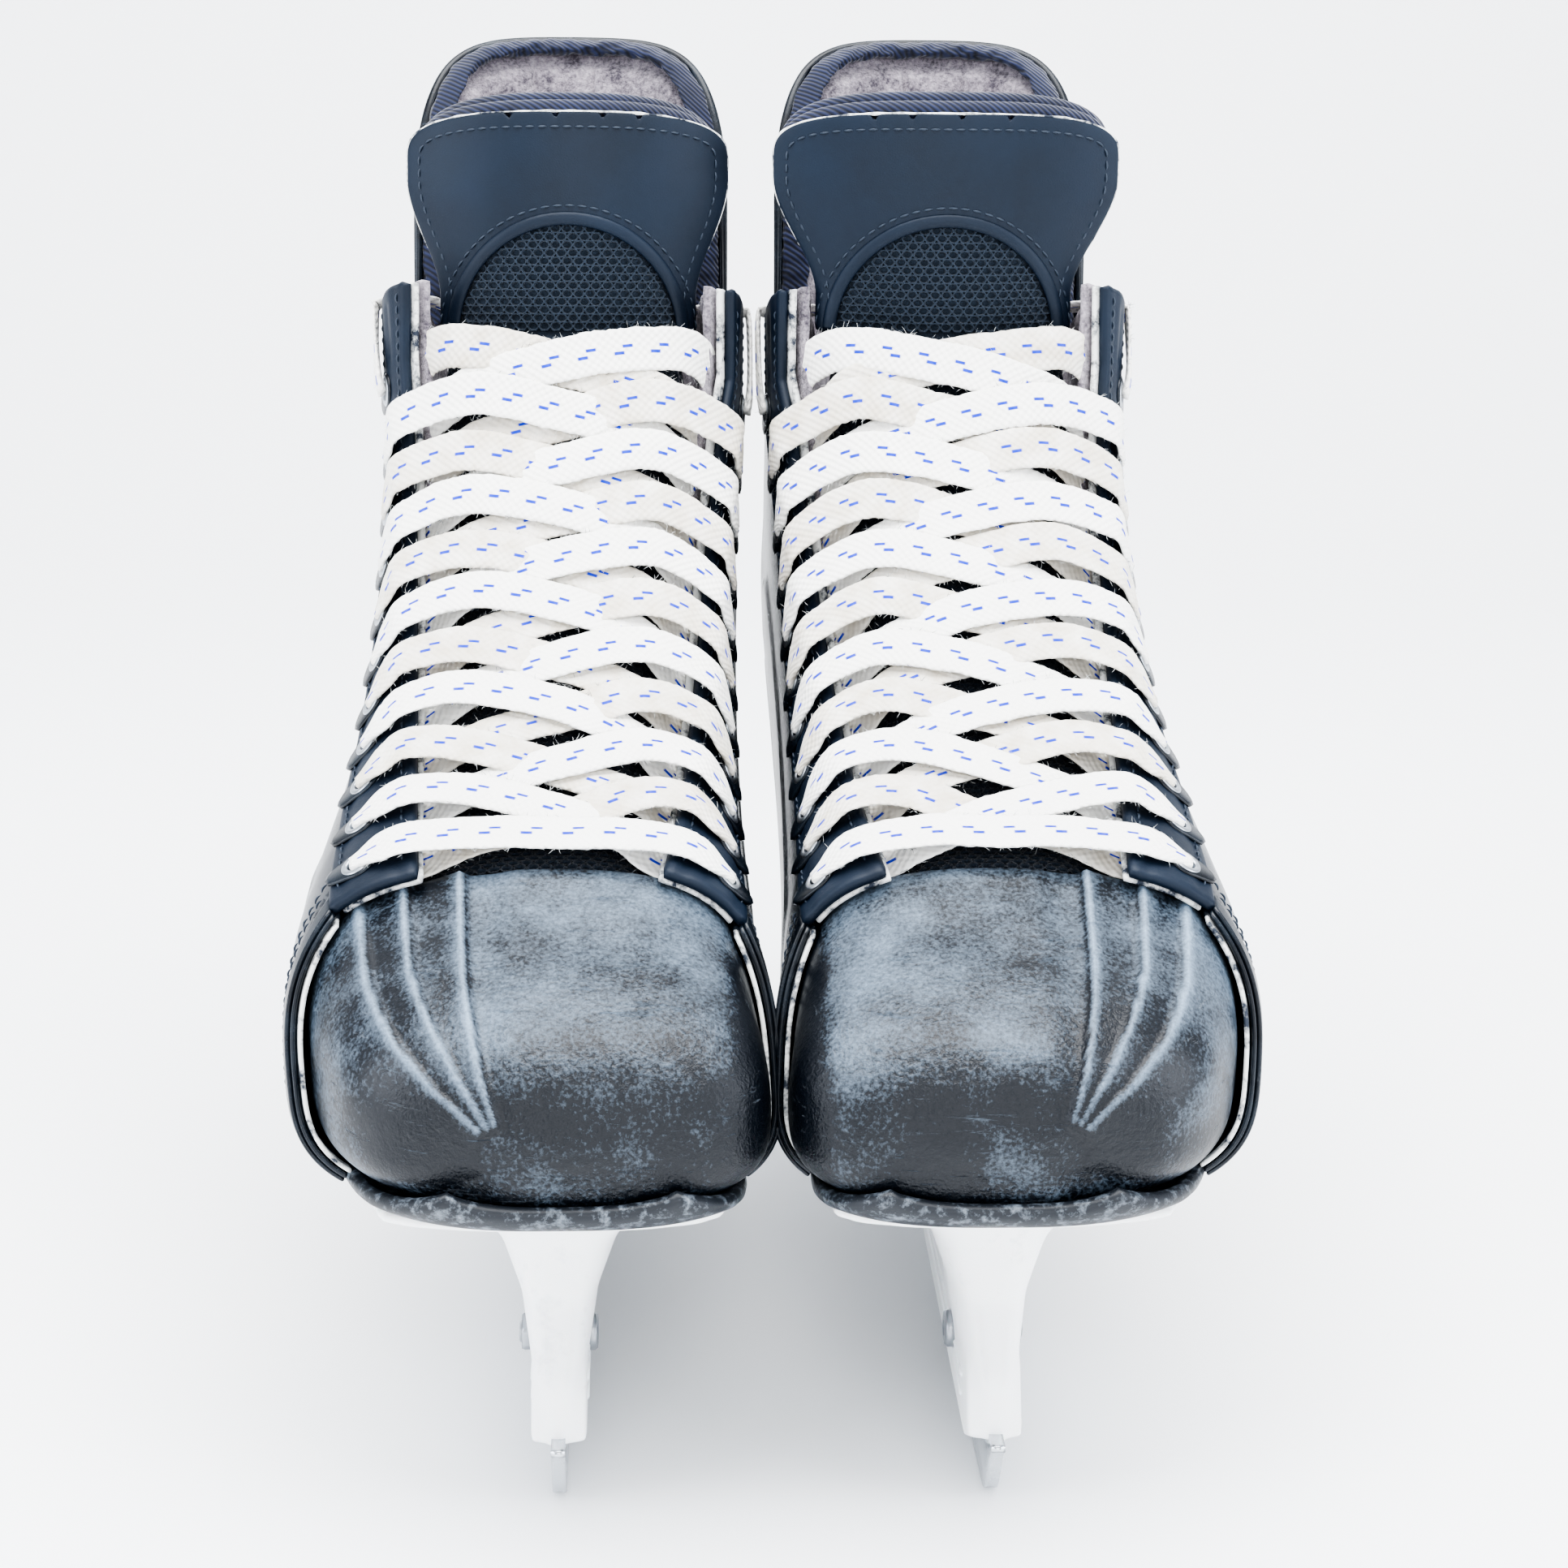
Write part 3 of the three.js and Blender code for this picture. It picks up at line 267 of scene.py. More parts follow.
def make(foot, name, points, faces, material, slot, body=BOOT, replaced=(), uv=None, **attributes):
    """A piece of one skate from its points and faces, on its body, in place of its CAD nodes."""
    mesh = bpy.data.meshes.new(f"{foot}_{name}")
    mesh.from_pydata(place(foot, points).tolist(), [], [list(map(int, f)) for f in faces])
    if uv is not None:
        corners = np.zeros(len(mesh.loops), int)
        mesh.loops.foreach_get("vertex_index", corners)
        mesh.uv_layers.new(name="millimetres").data.foreach_set("uv", np.asarray(uv, float)[corners].ravel())
    for key, values in attributes.items():
        mesh.attributes.new(key, "FLOAT", "POINT").data.foreach_set("value", np.asarray(values, float).ravel())
    shaped = bmesh.new()
    shaped.from_mesh(mesh)
    bmesh.ops.recalc_face_normals(shaped, faces=shaped.faces)
    shaped.to_mesh(mesh)
    shaped.free()
    mesh.shade_smooth()
    mesh.materials.append(material)
    made = bpy.data.objects.new(f"{foot}_{name}", mesh)
    bpy.context.scene.collection.objects.link(made)
    if body:
        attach(made, body)
    if replaced:
        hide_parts(*[f"{foot}_{n}" for n in replaced])
    return made


def grid_faces(rows, columns, wrap=False, first=0):
    """The quads of a grid of points, row by row."""
    last = columns if wrap else columns - 1
    return [
        (
            first + i * columns + j,
            first + i * columns + (j + 1) % columns,
            first + (i + 1) * columns + (j + 1) % columns,
            first + (i + 1) * columns + j,
        )
        for i in range(rows - 1)
        for j in range(last)
    ]


def pebbles(points, size, seed=0.0):
    """Smooth made-up unevenness from -1 to 1 whose bumps are about size millimetres across."""
    p = np.asarray(points) / size
    total = 0
    for k, (a, b, c) in enumerate([(1.3, 0.7, 0.5), (-0.6, 1.1, 0.9), (0.8, -0.9, 1.2), (0.4, 1.3, -1.0)]):
        total = total + np.sin(2 * (a * p[..., 0] + b * p[..., 1] + c * p[..., 2]) + 1.7 * k + seed)
    return total / 4


# Moulded TPU: a hard, faintly oily sheen that rubs to pale blue-grey where it scrapes, over a pebbled texture; the
# same dark-to-pale mix also carries a painted highlight on the cap's top and painted shade under its rib crests and
# on its lower front.
PEBBLE = 0.9 * MM
SCRATCH = 7 * MM
tpu, tree, shader = finish("moulded_tpu", 0x101A25, 0.4, IOR=1.5)
spots = add(tree, "TexCoord").outputs["Object"]
# The cap's per-point amount read here holds its scuffs together with a painted highlight on its top and painted shade
# under the rib crests and on its lower front.
rub = add(tree, "Attribute", attribute_name="rub").outputs["Fac"]
front = add(tree, "Attribute", attribute_name="front").outputs["Fac"]
speckle = add(tree, "TexNoise", {"Vector": spots, "Scale": 1 / PEBBLE, "Detail": 3, "Roughness": 0.65})
blotch = add(tree, "TexNoise", {"Vector": spots, "Scale": 1 / (26 * MM), "Detail": 5, "Roughness": 0.62})
scraped = add(tree, "Mapping", {"Vector": spots, "Scale": (0.35, 1, 4), "Rotation": (0, 0.5, 0)})
lines = add(tree, "TexNoise", {"Vector": scraped.outputs[0], "Scale": 1 / SCRATCH, "Detail": 8,
                               "Roughness": 0.8})
line_wear = add(tree, "MapRange", {"Value": lines.outputs[0], "From Min": 0.6, "From Max": 0.72,
                                   "To Max": 0.5})
patch = add(tree, "Math", {0: blotch.outputs[0], 1: rub}, operation="ADD")
grained = add(tree, "Math", {0: speckle.outputs[0], 1: 0.75}, operation="MULTIPLY")
grain_sum = add(tree, "Math", {0: patch.outputs[0], 1: grained.outputs[0]}, operation="ADD")
wear_and_light_share = add(tree, "MapRange", {"Value": grain_sum.outputs[0], "From Min": 0.86, "From Max": 1.65})
wear_light_and_scratches = add(tree, "Math", {0: wear_and_light_share.outputs[0], 1: line_wear.outputs[0]}, operation="ADD", use_clamp=True)
worn_and_lit_colour = add(tree, "Mix", {0: wear_light_and_scratches.outputs[0], 6: linear(0x080F18), 7: linear(0x8A9DB0)}, data_type="RGBA")
tree.links.new(worn_and_lit_colour.outputs[2], shader.inputs["Base Color"])
dull = add(tree, "MapRange", {"Value": wear_light_and_scratches.outputs[0], "To Min": 0.33, "To Max": 0.62})
tree.links.new(dull.outputs[0], shader.inputs["Roughness"])
coarse = add(tree, "TexNoise", {"Vector": spots, "Scale": 1 / (2.2 * MM), "Detail": 2, "Roughness": 0.5})
both = add(tree, "Mix", {0: 0.5, 2: speckle.outputs[0], 3: coarse.outputs[0]}, data_type="FLOAT")
relief = add(tree, "Math", {0: both.outputs[0], 1: front}, operation="MULTIPLY")
grooved = add(tree, "Math", {0: relief.outputs[0], 1: line_wear.outputs[0]}, operation="SUBTRACT")
bump = add(tree, "Bump", {"Height": grooved.outputs[0], "Distance": 0.9 * MM, "Strength": 0.65})
tree.links.new(bump.outputs[0], shader.inputs["Normal"])

# Welt and outsole: a pressed glass-fibre composite, dark and satin, pale where its lip is scraped.
composite, tree, shader = finish("pressed_fibre_composite", 0x20242B, 0.42)
spots = add(tree, "TexCoord").outputs["Object"]
fibre = add(tree, "TexNoise", {"Vector": spots, "Scale": 1 / (3 * MM), "Detail": 6, "Roughness": 0.7})
scuff = add(tree, "MapRange", {"Value": fibre.outputs[0], "From Min": 0.5, "From Max": 0.78})
tint = add(tree, "Mix", {0: scuff.outputs[0], 6: linear(0x1D2229), 7: linear(0x8E99A4)}, data_type="RGBA")
tree.links.new(tint.outputs[2], shader.inputs["Base Color"])
bump = add(tree, "Bump", {"Height": fibre.outputs[0], "Distance": 0.3 * MM, "Strength": 0.5})
tree.links.new(bump.outputs[0], shader.inputs["Normal"])

CAP_END = 4.92  # the section where the cap ends
CAP_WALL = 3.0
RIB_HEIGHT = 1.9
RIB_WIDTH = 7.5
# How far out from the boot's middle each rib's crest is, at each of these sections.
RIB_SECTIONS = (0.3, 1.2, 2.4, 3.6, 4.9)
RIBS = [(15, 24, 33, 40, 44), (13.5, 19, 25, 31, 34), (12, 15, 17.5, 20, 21.5)]


def rib_relief(s, turn):
    """How far the ribs stand out: each one rises slowly from outside and drops sharply on its inner side."""
    x = last_point(s, turn)[..., 0]
    height = np.zeros_like(x)
    for crests in RIBS:
        behind = (-x - np.interp(s, RIB_SECTIONS, crests)) / RIB_WIDTH
        rib = np.where(behind > 0, np.exp(-np.maximum(behind, 0) * 1.5), np.exp(-((behind * 7) ** 2)))
        height = np.maximum(height, rib)
    upper = ease(np.abs(np.degrees(turn)), mix(50, 60, ease(s, 0.6, 1.6)), 85)
    return height * upper * ease(s, 0.0, 0.35) * RIB_HEIGHT


CAP_RINGS = 120
CAP_TURNS = 240
NOSE_BULGE = 1.1
for foot in FEET:
    sections = CAP_END * np.linspace(0, 1, CAP_RINGS) ** 1.1
    turns = np.array([even_turns(float(s), -math.pi, math.pi, CAP_TURNS)[:-1] for s in sections])
    s_grid = np.repeat(sections[:, None], CAP_TURNS, 1)
    relief_out = rib_relief(s_grid, turns)
    sunk = relief_out - RIB_HEIGHT * 0.55 * ease(-last_point(s_grid, turns)[..., 0], 8, 16)
    bumps = 0.22 * pebbles(last_point(s_grid, turns), 9, seed=len(foot))
    outside = layer(s_grid, turns, sunk + bumps)
    nose_middle = outside[0].mean(0)
    nose = []
    for r in (0.33, 0.66):
        bulge = np.array((0, -NOSE_BULGE * (1 - r * r), 0))
        nose.append(mix(nose_middle + bulge, outside[0], r) + bulge)
    inside = layer(s_grid, turns, -CAP_WALL)[::-1]
    inside[:, :, 1] = np.maximum(inside[:, :, 1], -137)
    rim = [mix(outside[-1], inside[0], t) + np.array([0, 1.2 * math.sin(math.pi * t), 0])
           for t in (0.25, 0.5, 0.75)]
    rings = [*nose, *outside, *rim, *inside[:-8]]
    points = np.concatenate(rings)
    faces = grid_faces(len(rings), CAP_TURNS, wrap=True)
    faces.append(list(range(CAP_TURNS))[::-1])
    back = (len(rings) - 1) * CAP_TURNS
    faces.append(list(range(back, back + CAP_TURNS)))
    height = points[:, 2]
    is_front = ease(-points[:, 1], 96, 132) * ease(points[:, 0], -42, -24)
    crest = np.concatenate([np.zeros(2 * CAP_TURNS), (relief_out / RIB_HEIGHT).ravel(),
                            np.zeros(len(points) - (2 + CAP_RINGS) * CAP_TURNS)])
    # The cap's colour amount: the top is painted lighter as a painted highlight, the slope under each rib crest and
    # the lower front get painted shade, the scuffed rib crests are paler, the outer side is a little lighter and the
    # inner side darker.
    on_top = ease(height, 96, 112)
    shade = np.exp(-(((crest - 0.35) / 0.3) ** 2)) * (crest > 0.02)
    rub = 0.02 + 0.13 * on_top + 0.4 * ease(crest, 0.72, 0.98) - 0.16 * shade - 0.06 * is_front * (1 - on_top)
    rub = rub + 0.14 * ease(-points[:, 0], 30, 46) - 0.3 * ease(points[:, 0], 35, 41)
    make(foot, "toe_cap_shell", points, faces, tpu, "cap_plastic", replaced=["toe_cap"], rub=rub,
         front=0.25 + 0.75 * is_front)

# ---------------------------------------------------------------- quarters
# The two sides of each boot are heat-formed from a laminate of glass-fibre composite under a smooth polyurethane
# film. They are lasted over the cap's rear edge, where their layers show one over another with pale cut edges.


def run_of(points):
    return np.concatenate([[0], np.cumsum(np.linalg.norm(np.diff(points, axis=0), axis=1))])


def closed(outside, inside, rounds=3):
    """One closed sheet between two grids of points, with a rounded rim: (points, faces, uv in millimetres)."""
    rows, columns = outside.shape[:2]
    edge = [(0, j) for j in range(columns)] + [(i, columns - 1) for i in range(1, rows)]
    edge += [(rows - 1, j) for j in range(columns - 2, -1, -1)] + [(i, 0) for i in range(rows - 2, 0, -1)]
    i, j = np.array(edge).T
    next_i, next_j = np.clip(i, 1, rows - 2), np.clip(j, 1, columns - 2)
    middle = (outside + inside) / 2
    across = (outside[i, j] - inside[i, j]) / 2
    half = np.linalg.norm(across, axis=1, keepdims=True)
    away = middle[i, j] - middle[next_i, next_j]
    away -= across * (away * across).sum(1, keepdims=True) / half**2
    away /= np.linalg.norm(away, axis=1, keepdims=True) + 1e-9
    rims = [
        middle[i, j] + across * math.cos(a) + away * half * math.sin(a)
        for a in np.linspace(0, math.pi, rounds + 2)[1:-1]
    ]
    count = rows * columns
    points = np.concatenate([outside.reshape(-1, 3), inside.reshape(-1, 3), *rims])
    faces = grid_faces(rows, columns) + [f[::-1] for f in grid_faces(rows, columns, first=count)]
    loops = [i * columns + j, *[2 * count + k * len(i) + np.arange(len(i)) for k in range(rounds)]]
    loops.append(count + i * columns + j)
    for a, b in zip(loops, loops[1:]):
        faces += [(a[k], b[k], b[(k + 1) % len(a)], a[(k + 1) % len(a)]) for k in range(len(a))]
    along = run_of(middle[:, columns // 2])[:, None] + np.zeros((1, columns))
    round_it = run_of(middle[rows // 2])[None] + np.zeros((rows, 1))
    uv = np.stack([along, round_it], -1).reshape(-1, 2)
    rim_uv = uv[i * columns + j]
    return points, faces, np.concatenate([uv, uv, *[rim_uv] * rounds])


EDGE_LOW = {-1: 30.5, 1: 22.5}  # from the middle to each eyestay's edge at the toe: outer side -1, inner side 1
EDGE_TOP = 37.5
LAST_EYELET = 11.2


def facing_edge(s, side):
    """How far an eyestay's edge is from the boot's middle."""
    return mix(EDGE_LOW[side], EDGE_TOP, np.clip((s - 4.8) / (LAST_EYELET - 4.8), 0, 1) ** 0.8)


@lru_cache(None)
def facing_turn(s, side, back=0.0):
    """The turn that lies back millimetres round the boot from an eyestay's edge."""
    half, above = section(s)[5 if side > 0 else 4], section(s)[8]
    edge = max(facing_edge(s, side) + min(back, 0), 0)
    start = side * (math.pi - math.asin(min(edge / half, 1) ** (above / 2)))
    if back <= 0:
        return start
    fine = start - side * np.radians(np.linspace(0, 100, 401))
    return float(np.interp(back, run_of(last_point(s, fine)), fine))


def turns_between(sections, starts, ends, count):
    return np.array([even_turns(float(s), float(a), float(b), count)
                     for s, a, b in zip(sections, starts, ends)])


# Polyurethane film: a dark grey-blue skin with a soft gloss, hazed by scuffs and fine scratches along the boot.
film, tree, shader = finish("polyurethane_film", 0x1E262F, 0.3, IOR=1.5)
spots = add(tree, "TexCoord").outputs["Object"]
stretched = add(tree, "Mapping", {"Vector": spots, "Scale": (3, 0.4, 3)})
haze = add(tree, "TexNoise", {"Vector": spots, "Scale": 1 / (18 * MM), "Detail": 6, "Roughness": 0.65})
hairline = add(tree, "TexNoise", {"Vector": stretched.outputs[0], "Scale": 1 / (4 * MM), "Detail": 8,
                                  "Roughness": 0.8})
scratched = add(tree, "MapRange", {"Value": hairline.outputs[0], "From Min": 0.62, "From Max": 0.75,
                                   "To Max": 0.7})
hazed = add(tree, "MapRange", {"Value": haze.outputs[0], "From Min": 0.42, "From Max": 0.9, "To Max": 0.22})
total = add(tree, "Math", {0: scratched.outputs[0], 1: hazed.outputs[0]}, operation="ADD", use_clamp=True)
tint = add(tree, "Mix", {0: total.outputs[0], 6: linear(0x0A1018), 7: linear(0x5C7083)}, data_type="RGBA")
tree.links.new(tint.outputs[2], shader.inputs["Base Color"])
dull = add(tree, "MapRange", {"Value": total.outputs[0], "To Min": 0.25, "To Max": 0.5})
tree.links.new(dull.outputs[0], shader.inputs["Roughness"])
bump = add(tree, "Bump", {"Height": hairline.outputs[0], "Distance": 0.15 * MM, "Strength": 0.4})
tree.links.new(bump.outputs[0], shader.inputs["Normal"])

# Cut edge: the laminate's raw edge, off-white where it is clean and grey-brown where it is rubbed.
cut_edge, tree, shader = finish("raw_cut_edge", 0xD9DCDC, 0.7)
spots = add(tree, "TexCoord").outputs["Object"]
grime = add(tree, "TexNoise", {"Vector": spots, "Scale": 1 / (5 * MM), "Detail": 5, "Roughness": 0.7})
dirt = add(tree, "MapRange", {"Value": grime.outputs[0], "From Min": 0.47, "From Max": 0.62})
tint = add(tree, "Mix", {0: dirt.outputs[0], 6: linear(0xE4E6E4), 7: linear(0x2A3240)}, data_type="RGBA")
tree.links.new(tint.outputs[2], shader.inputs["Base Color"])
bump = add(tree, "Bump", {"Height": grime.outputs[0], "Distance": 0.3 * MM, "Strength": 0.6})
tree.links.new(bump.outputs[0], shader.inputs["Normal"])

# Bonded nylon thread: dark blue-grey and slightly glossy, twisted at about 0.6 mm.
thread, tree, shader = finish("bonded_nylon_thread", 0x2B3644, 0.5)
spots = add(tree, "TexCoord").outputs["Object"]
twist = add(tree, "TexWave", {"Vector": spots, "Scale": 1 / (2.4 * MM)}, bands_direction="DIAGONAL")
bump = add(tree, "Bump", {"Height": twist.outputs["Fac"], "Distance": 0.1 * MM, "Strength": 0.6})
tree.links.new(bump.outputs[0], shader.inputs["Normal"])

QUARTER_IN = 0.6
QUARTER_WALL = 3.2
QUARTER_FRONT_WALL = 1.8
QUARTER_FRONT = (3.55, 4.82)  # the section of its front edge, at the sole and at the facing
QUARTER_BACK = 18.9  # how far behind the eyestay's edge it starts
SOLE_TURN = math.radians(48)
HEEL_END = 10.1
SEAM_TURN = math.radians(0.5)
ROWS, COLUMNS = 110, 44


def quarter_start(s):
    """The turn at which a quarter starts: beside the outsole, and at the seam behind the heel."""
    return mix(SOLE_TURN + math.radians(3), SEAM_TURN, ease(s, HEEL_END - 0.3, HEEL_END + 0.5))


def quarter_front(v):
    return mix(QUARTER_FRONT[0], QUARTER_FRONT[1], v**1.3)


def quarter_rim(v):
    """The section of the collar's rim, which dips beside the ankle."""
    return COLLAR - 0.28 * np.sin(np.pi * np.clip(v * 1.15, 0, 1)) ** 2


def quarter_point(side, u, v, out):
    """A point of a quarter at the shares u of the way back and v of the way up from the sole."""
    s = mix(quarter_front(v), quarter_rim(v), u)
    turns = np.empty_like(s)
    for place_at in np.ndindex(s.shape):
        here = round(float(s[place_at]), 4)
        start, end = side * float(quarter_start(here)), facing_turn(here, side, QUARTER_BACK)
        fine = even_turns(round(here, 2), round(start, 3), round(end, 3), 60)
        turns[place_at] = np.interp(v[place_at] * 60, range(61), fine)
    return layer(s, turns, out)


def stitches(foot, name, line, normals, body=BOOT, pitch=3.0, long=2.2, radius=0.34, slot="lace_weave"):
    """A row of stitches along a line of points: each one rises out of its needle hole and dips into the next."""
    run = run_of(line)
    points, faces = [], []
    rings, around = 5, 6
    for middle in np.arange(pitch, run[-1] - pitch / 2, pitch):
        places = middle + np.linspace(-long, long, rings) / 2
        at = np.stack([np.interp(places, run, line[:, k]) for k in range(3)], 1)
        up_here = np.array([np.interp(middle, run, normals[:, k]) for k in range(3)])
        along = at[-1] - at[0]
        along /= np.linalg.norm(along)
        side_way = np.cross(along, up_here)
        side_way /= np.linalg.norm(side_way)
        base = len(points)
        for k, centre in enumerate(at):
            bow = 1 - (2 * k / (rings - 1) - 1) ** 2
            centre = centre + up_here * (bow - 0.45) * radius
            wide = radius * (0.45 + 0.55 * bow)
            for a in np.arange(around) / around * 2 * math.pi:
                points.append(centre + side_way * math.cos(a) * wide + up_here * math.sin(a) * wide * 0.8)
        faces += grid_faces(rings, around, wrap=True, first=base)
        faces.append([base + k for k in range(around)][::-1])
        faces.append([base + (rings - 1) * around + k for k in range(around)])
    return make(foot, name, np.array(points), faces, thread, slot, body)


def surface_line(points_at, count=160):
    """A line and its normals, from a function of shares 0 to 1 and a distance out."""
    t = np.linspace(0, 1, count)
    low, high = points_at(t, 0.0), points_at(t, 1.0)
    return low, (high - low) / np.linalg.norm(high - low, axis=1, keepdims=True)


for foot in FEET:
    for side, side_name in ((-1, "outer"), (1, "inner")):
        u, v = grid_of(np.linspace(0, 1, ROWS) ** 1.1, np.linspace(0, 1, COLUMNS))
        wall = mix(QUARTER_FRONT_WALL, QUARTER_WALL, np.minimum(u * 8, 1))
        # A pressed panel stands out over the arch and heel, with a groove round it.
        panel_low = ease(v, 0.2, 0.24) * ease(0.84 - 0.25 * u - v, 0, 0.05)
        panel = panel_low * ease(u, 0.16, 0.2) * ease(0.93 - u, 0, 0.04)
        swage = np.exp(-(((v - 0.46 + 0.1 * np.sin(3 * u)) / 0.025) ** 2)) * ease(u, 0.2, 0.3)
        out = QUARTER_IN + wall + 0.7 * panel - 0.8 * swage
        outside = quarter_point(side, u, v, out)
        inside = quarter_point(side, u, v, np.full_like(u, QUARTER_IN))
        make(foot, f"{side_name}_quarter_shell", *closed(outside, inside)[:2], film, "quarter_laminate",
             replaced=[f"{side_name}_quarter"])
        # Two lapped bands finish the front edge, each a little shorter than the one below it.
        for band, (reach, lift, thick) in enumerate(((0.034, 1.7, 1.2), (0.018, 2.9, 1.1))):
            u_band, v_band = grid_of(np.linspace(-0.008 + band * 0.004, reach, 10), np.linspace(0.01, 1, 90))
            under = quarter_point(side, u_band, v_band, np.full_like(u_band, QUARTER_IN + lift))
            over = quarter_point(side, u_band, v_band, np.full_like(u_band, QUARTER_IN + lift + thick))
            make(foot, f"{side_name}_front_band_{band + 1}", *closed(over, under)[:2], film, "quarter_laminate")
        u_edge, v_edge = grid_of(np.linspace(-0.013, 0.02, 8), np.linspace(0.01, 1, 90))
        over = quarter_point(side, u_edge, v_edge, np.full_like(u_edge, QUARTER_IN + 1.2))
        under = quarter_point(side, u_edge, v_edge, np.full_like(u_edge, QUARTER_IN + 0.15))
        make(foot, f"{side_name}_lasting_edge", *closed(over, under)[:2], cut_edge, "felt")
        for row, back in enumerate((0.045, 0.06)):
            def seam(t, lift, back=back):
                return quarter_point(side, np.full_like(t, back), mix(0.1, 0.98, t),
                                     np.full_like(t, QUARTER_IN + QUARTER_WALL + 0.1 + lift))
            line, normals = surface_line(seam)
            stitches(foot, f"{side_name}_front_seam_{row + 1}", line, normals, slot="quarter_laminate")

# ---------------------------------------------------------------- eyestays
# A strip of coated leathercloth over a stiff core is sewn along each side of the throat. Eleven enamelled steel
# eyelets are set in it, each in a moulded teardrop, and its raw edge shows pale along the laces.

# Coated leathercloth: a fine even grain under a matt navy-black coat, with a soft sheen and a few pale nicks.
leathercloth, tree, shader = finish("coated_leathercloth", 0x0A1522, 0.5, IOR=1.42)
spots = add(tree, "TexCoord").outputs["Object"]
grain = add(tree, "TexVoronoi", {"Vector": spots, "Scale": 1 / (0.7 * MM)}, feature="DISTANCE_TO_EDGE")
cloudy = add(tree, "TexNoise", {"Vector": spots, "Scale": 1 / (30 * MM), "Detail": 4, "Roughness": 0.55})
tint = add(tree, "Mix", {0: cloudy.outputs[0], 6: linear(0x08111C), 7: linear(0x12253A)}, data_type="RGBA")
tree.links.new(tint.outputs[2], shader.inputs["Base Color"])
bump = add(tree, "Bump", {"Height": grain.outputs[0], "Distance": 0.12 * MM, "Strength": 0.35})
tree.links.new(bump.outputs[0], shader.inputs["Normal"])

# Enamelled steel: bright where the lace has polished the rim.
eyelet_steel, tree, shader = finish("polished_eyelet_steel", 0xB4B9BF, 0.25, Metallic=1.0)
spots = add(tree, "TexCoord").outputs["Object"]
tarnish = add(tree, "TexNoise", {"Vector": spots, "Scale": 1 / (2 * MM), "Detail": 4})
dull = add(tree, "MapRange", {"Value": tarnish.outputs[0], "To Min": 0.15, "To Max": 0.55})
tree.links.new(dull.outputs[0], shader.inputs["Roughness"])

EYESTAY_WALL = 4.2
EYESTAY_BACK = 18.0
EYELET_BACK = 12.0
EYELETS = 11
EYELET_HOLE_R = 2.3
fine = np.linspace(5.15, LAST_EYELET, 201)
fine_points = np.array([last_point(s, facing_turn(float(s), 1, EYELET_BACK)) for s in fine])
eyelet_sections = np.interp(np.linspace(0, run_of(fine_points)[-1], EYELETS), run_of(fine_points), fine)


def facing_point(s, side, back, out):
    """Points beside an eyestay's edge: back millimetres behind it, and out millimetres from the last."""
    s, back, out = np.broadcast_arrays(np.asarray(s, float), back, out)
    turns = np.array([facing_turn(round(float(a), 4), side, round(float(b), 3))
                      for a, b in zip(s.ravel(), back.ravel())])
    return layer(s, turns.reshape(s.shape), out)


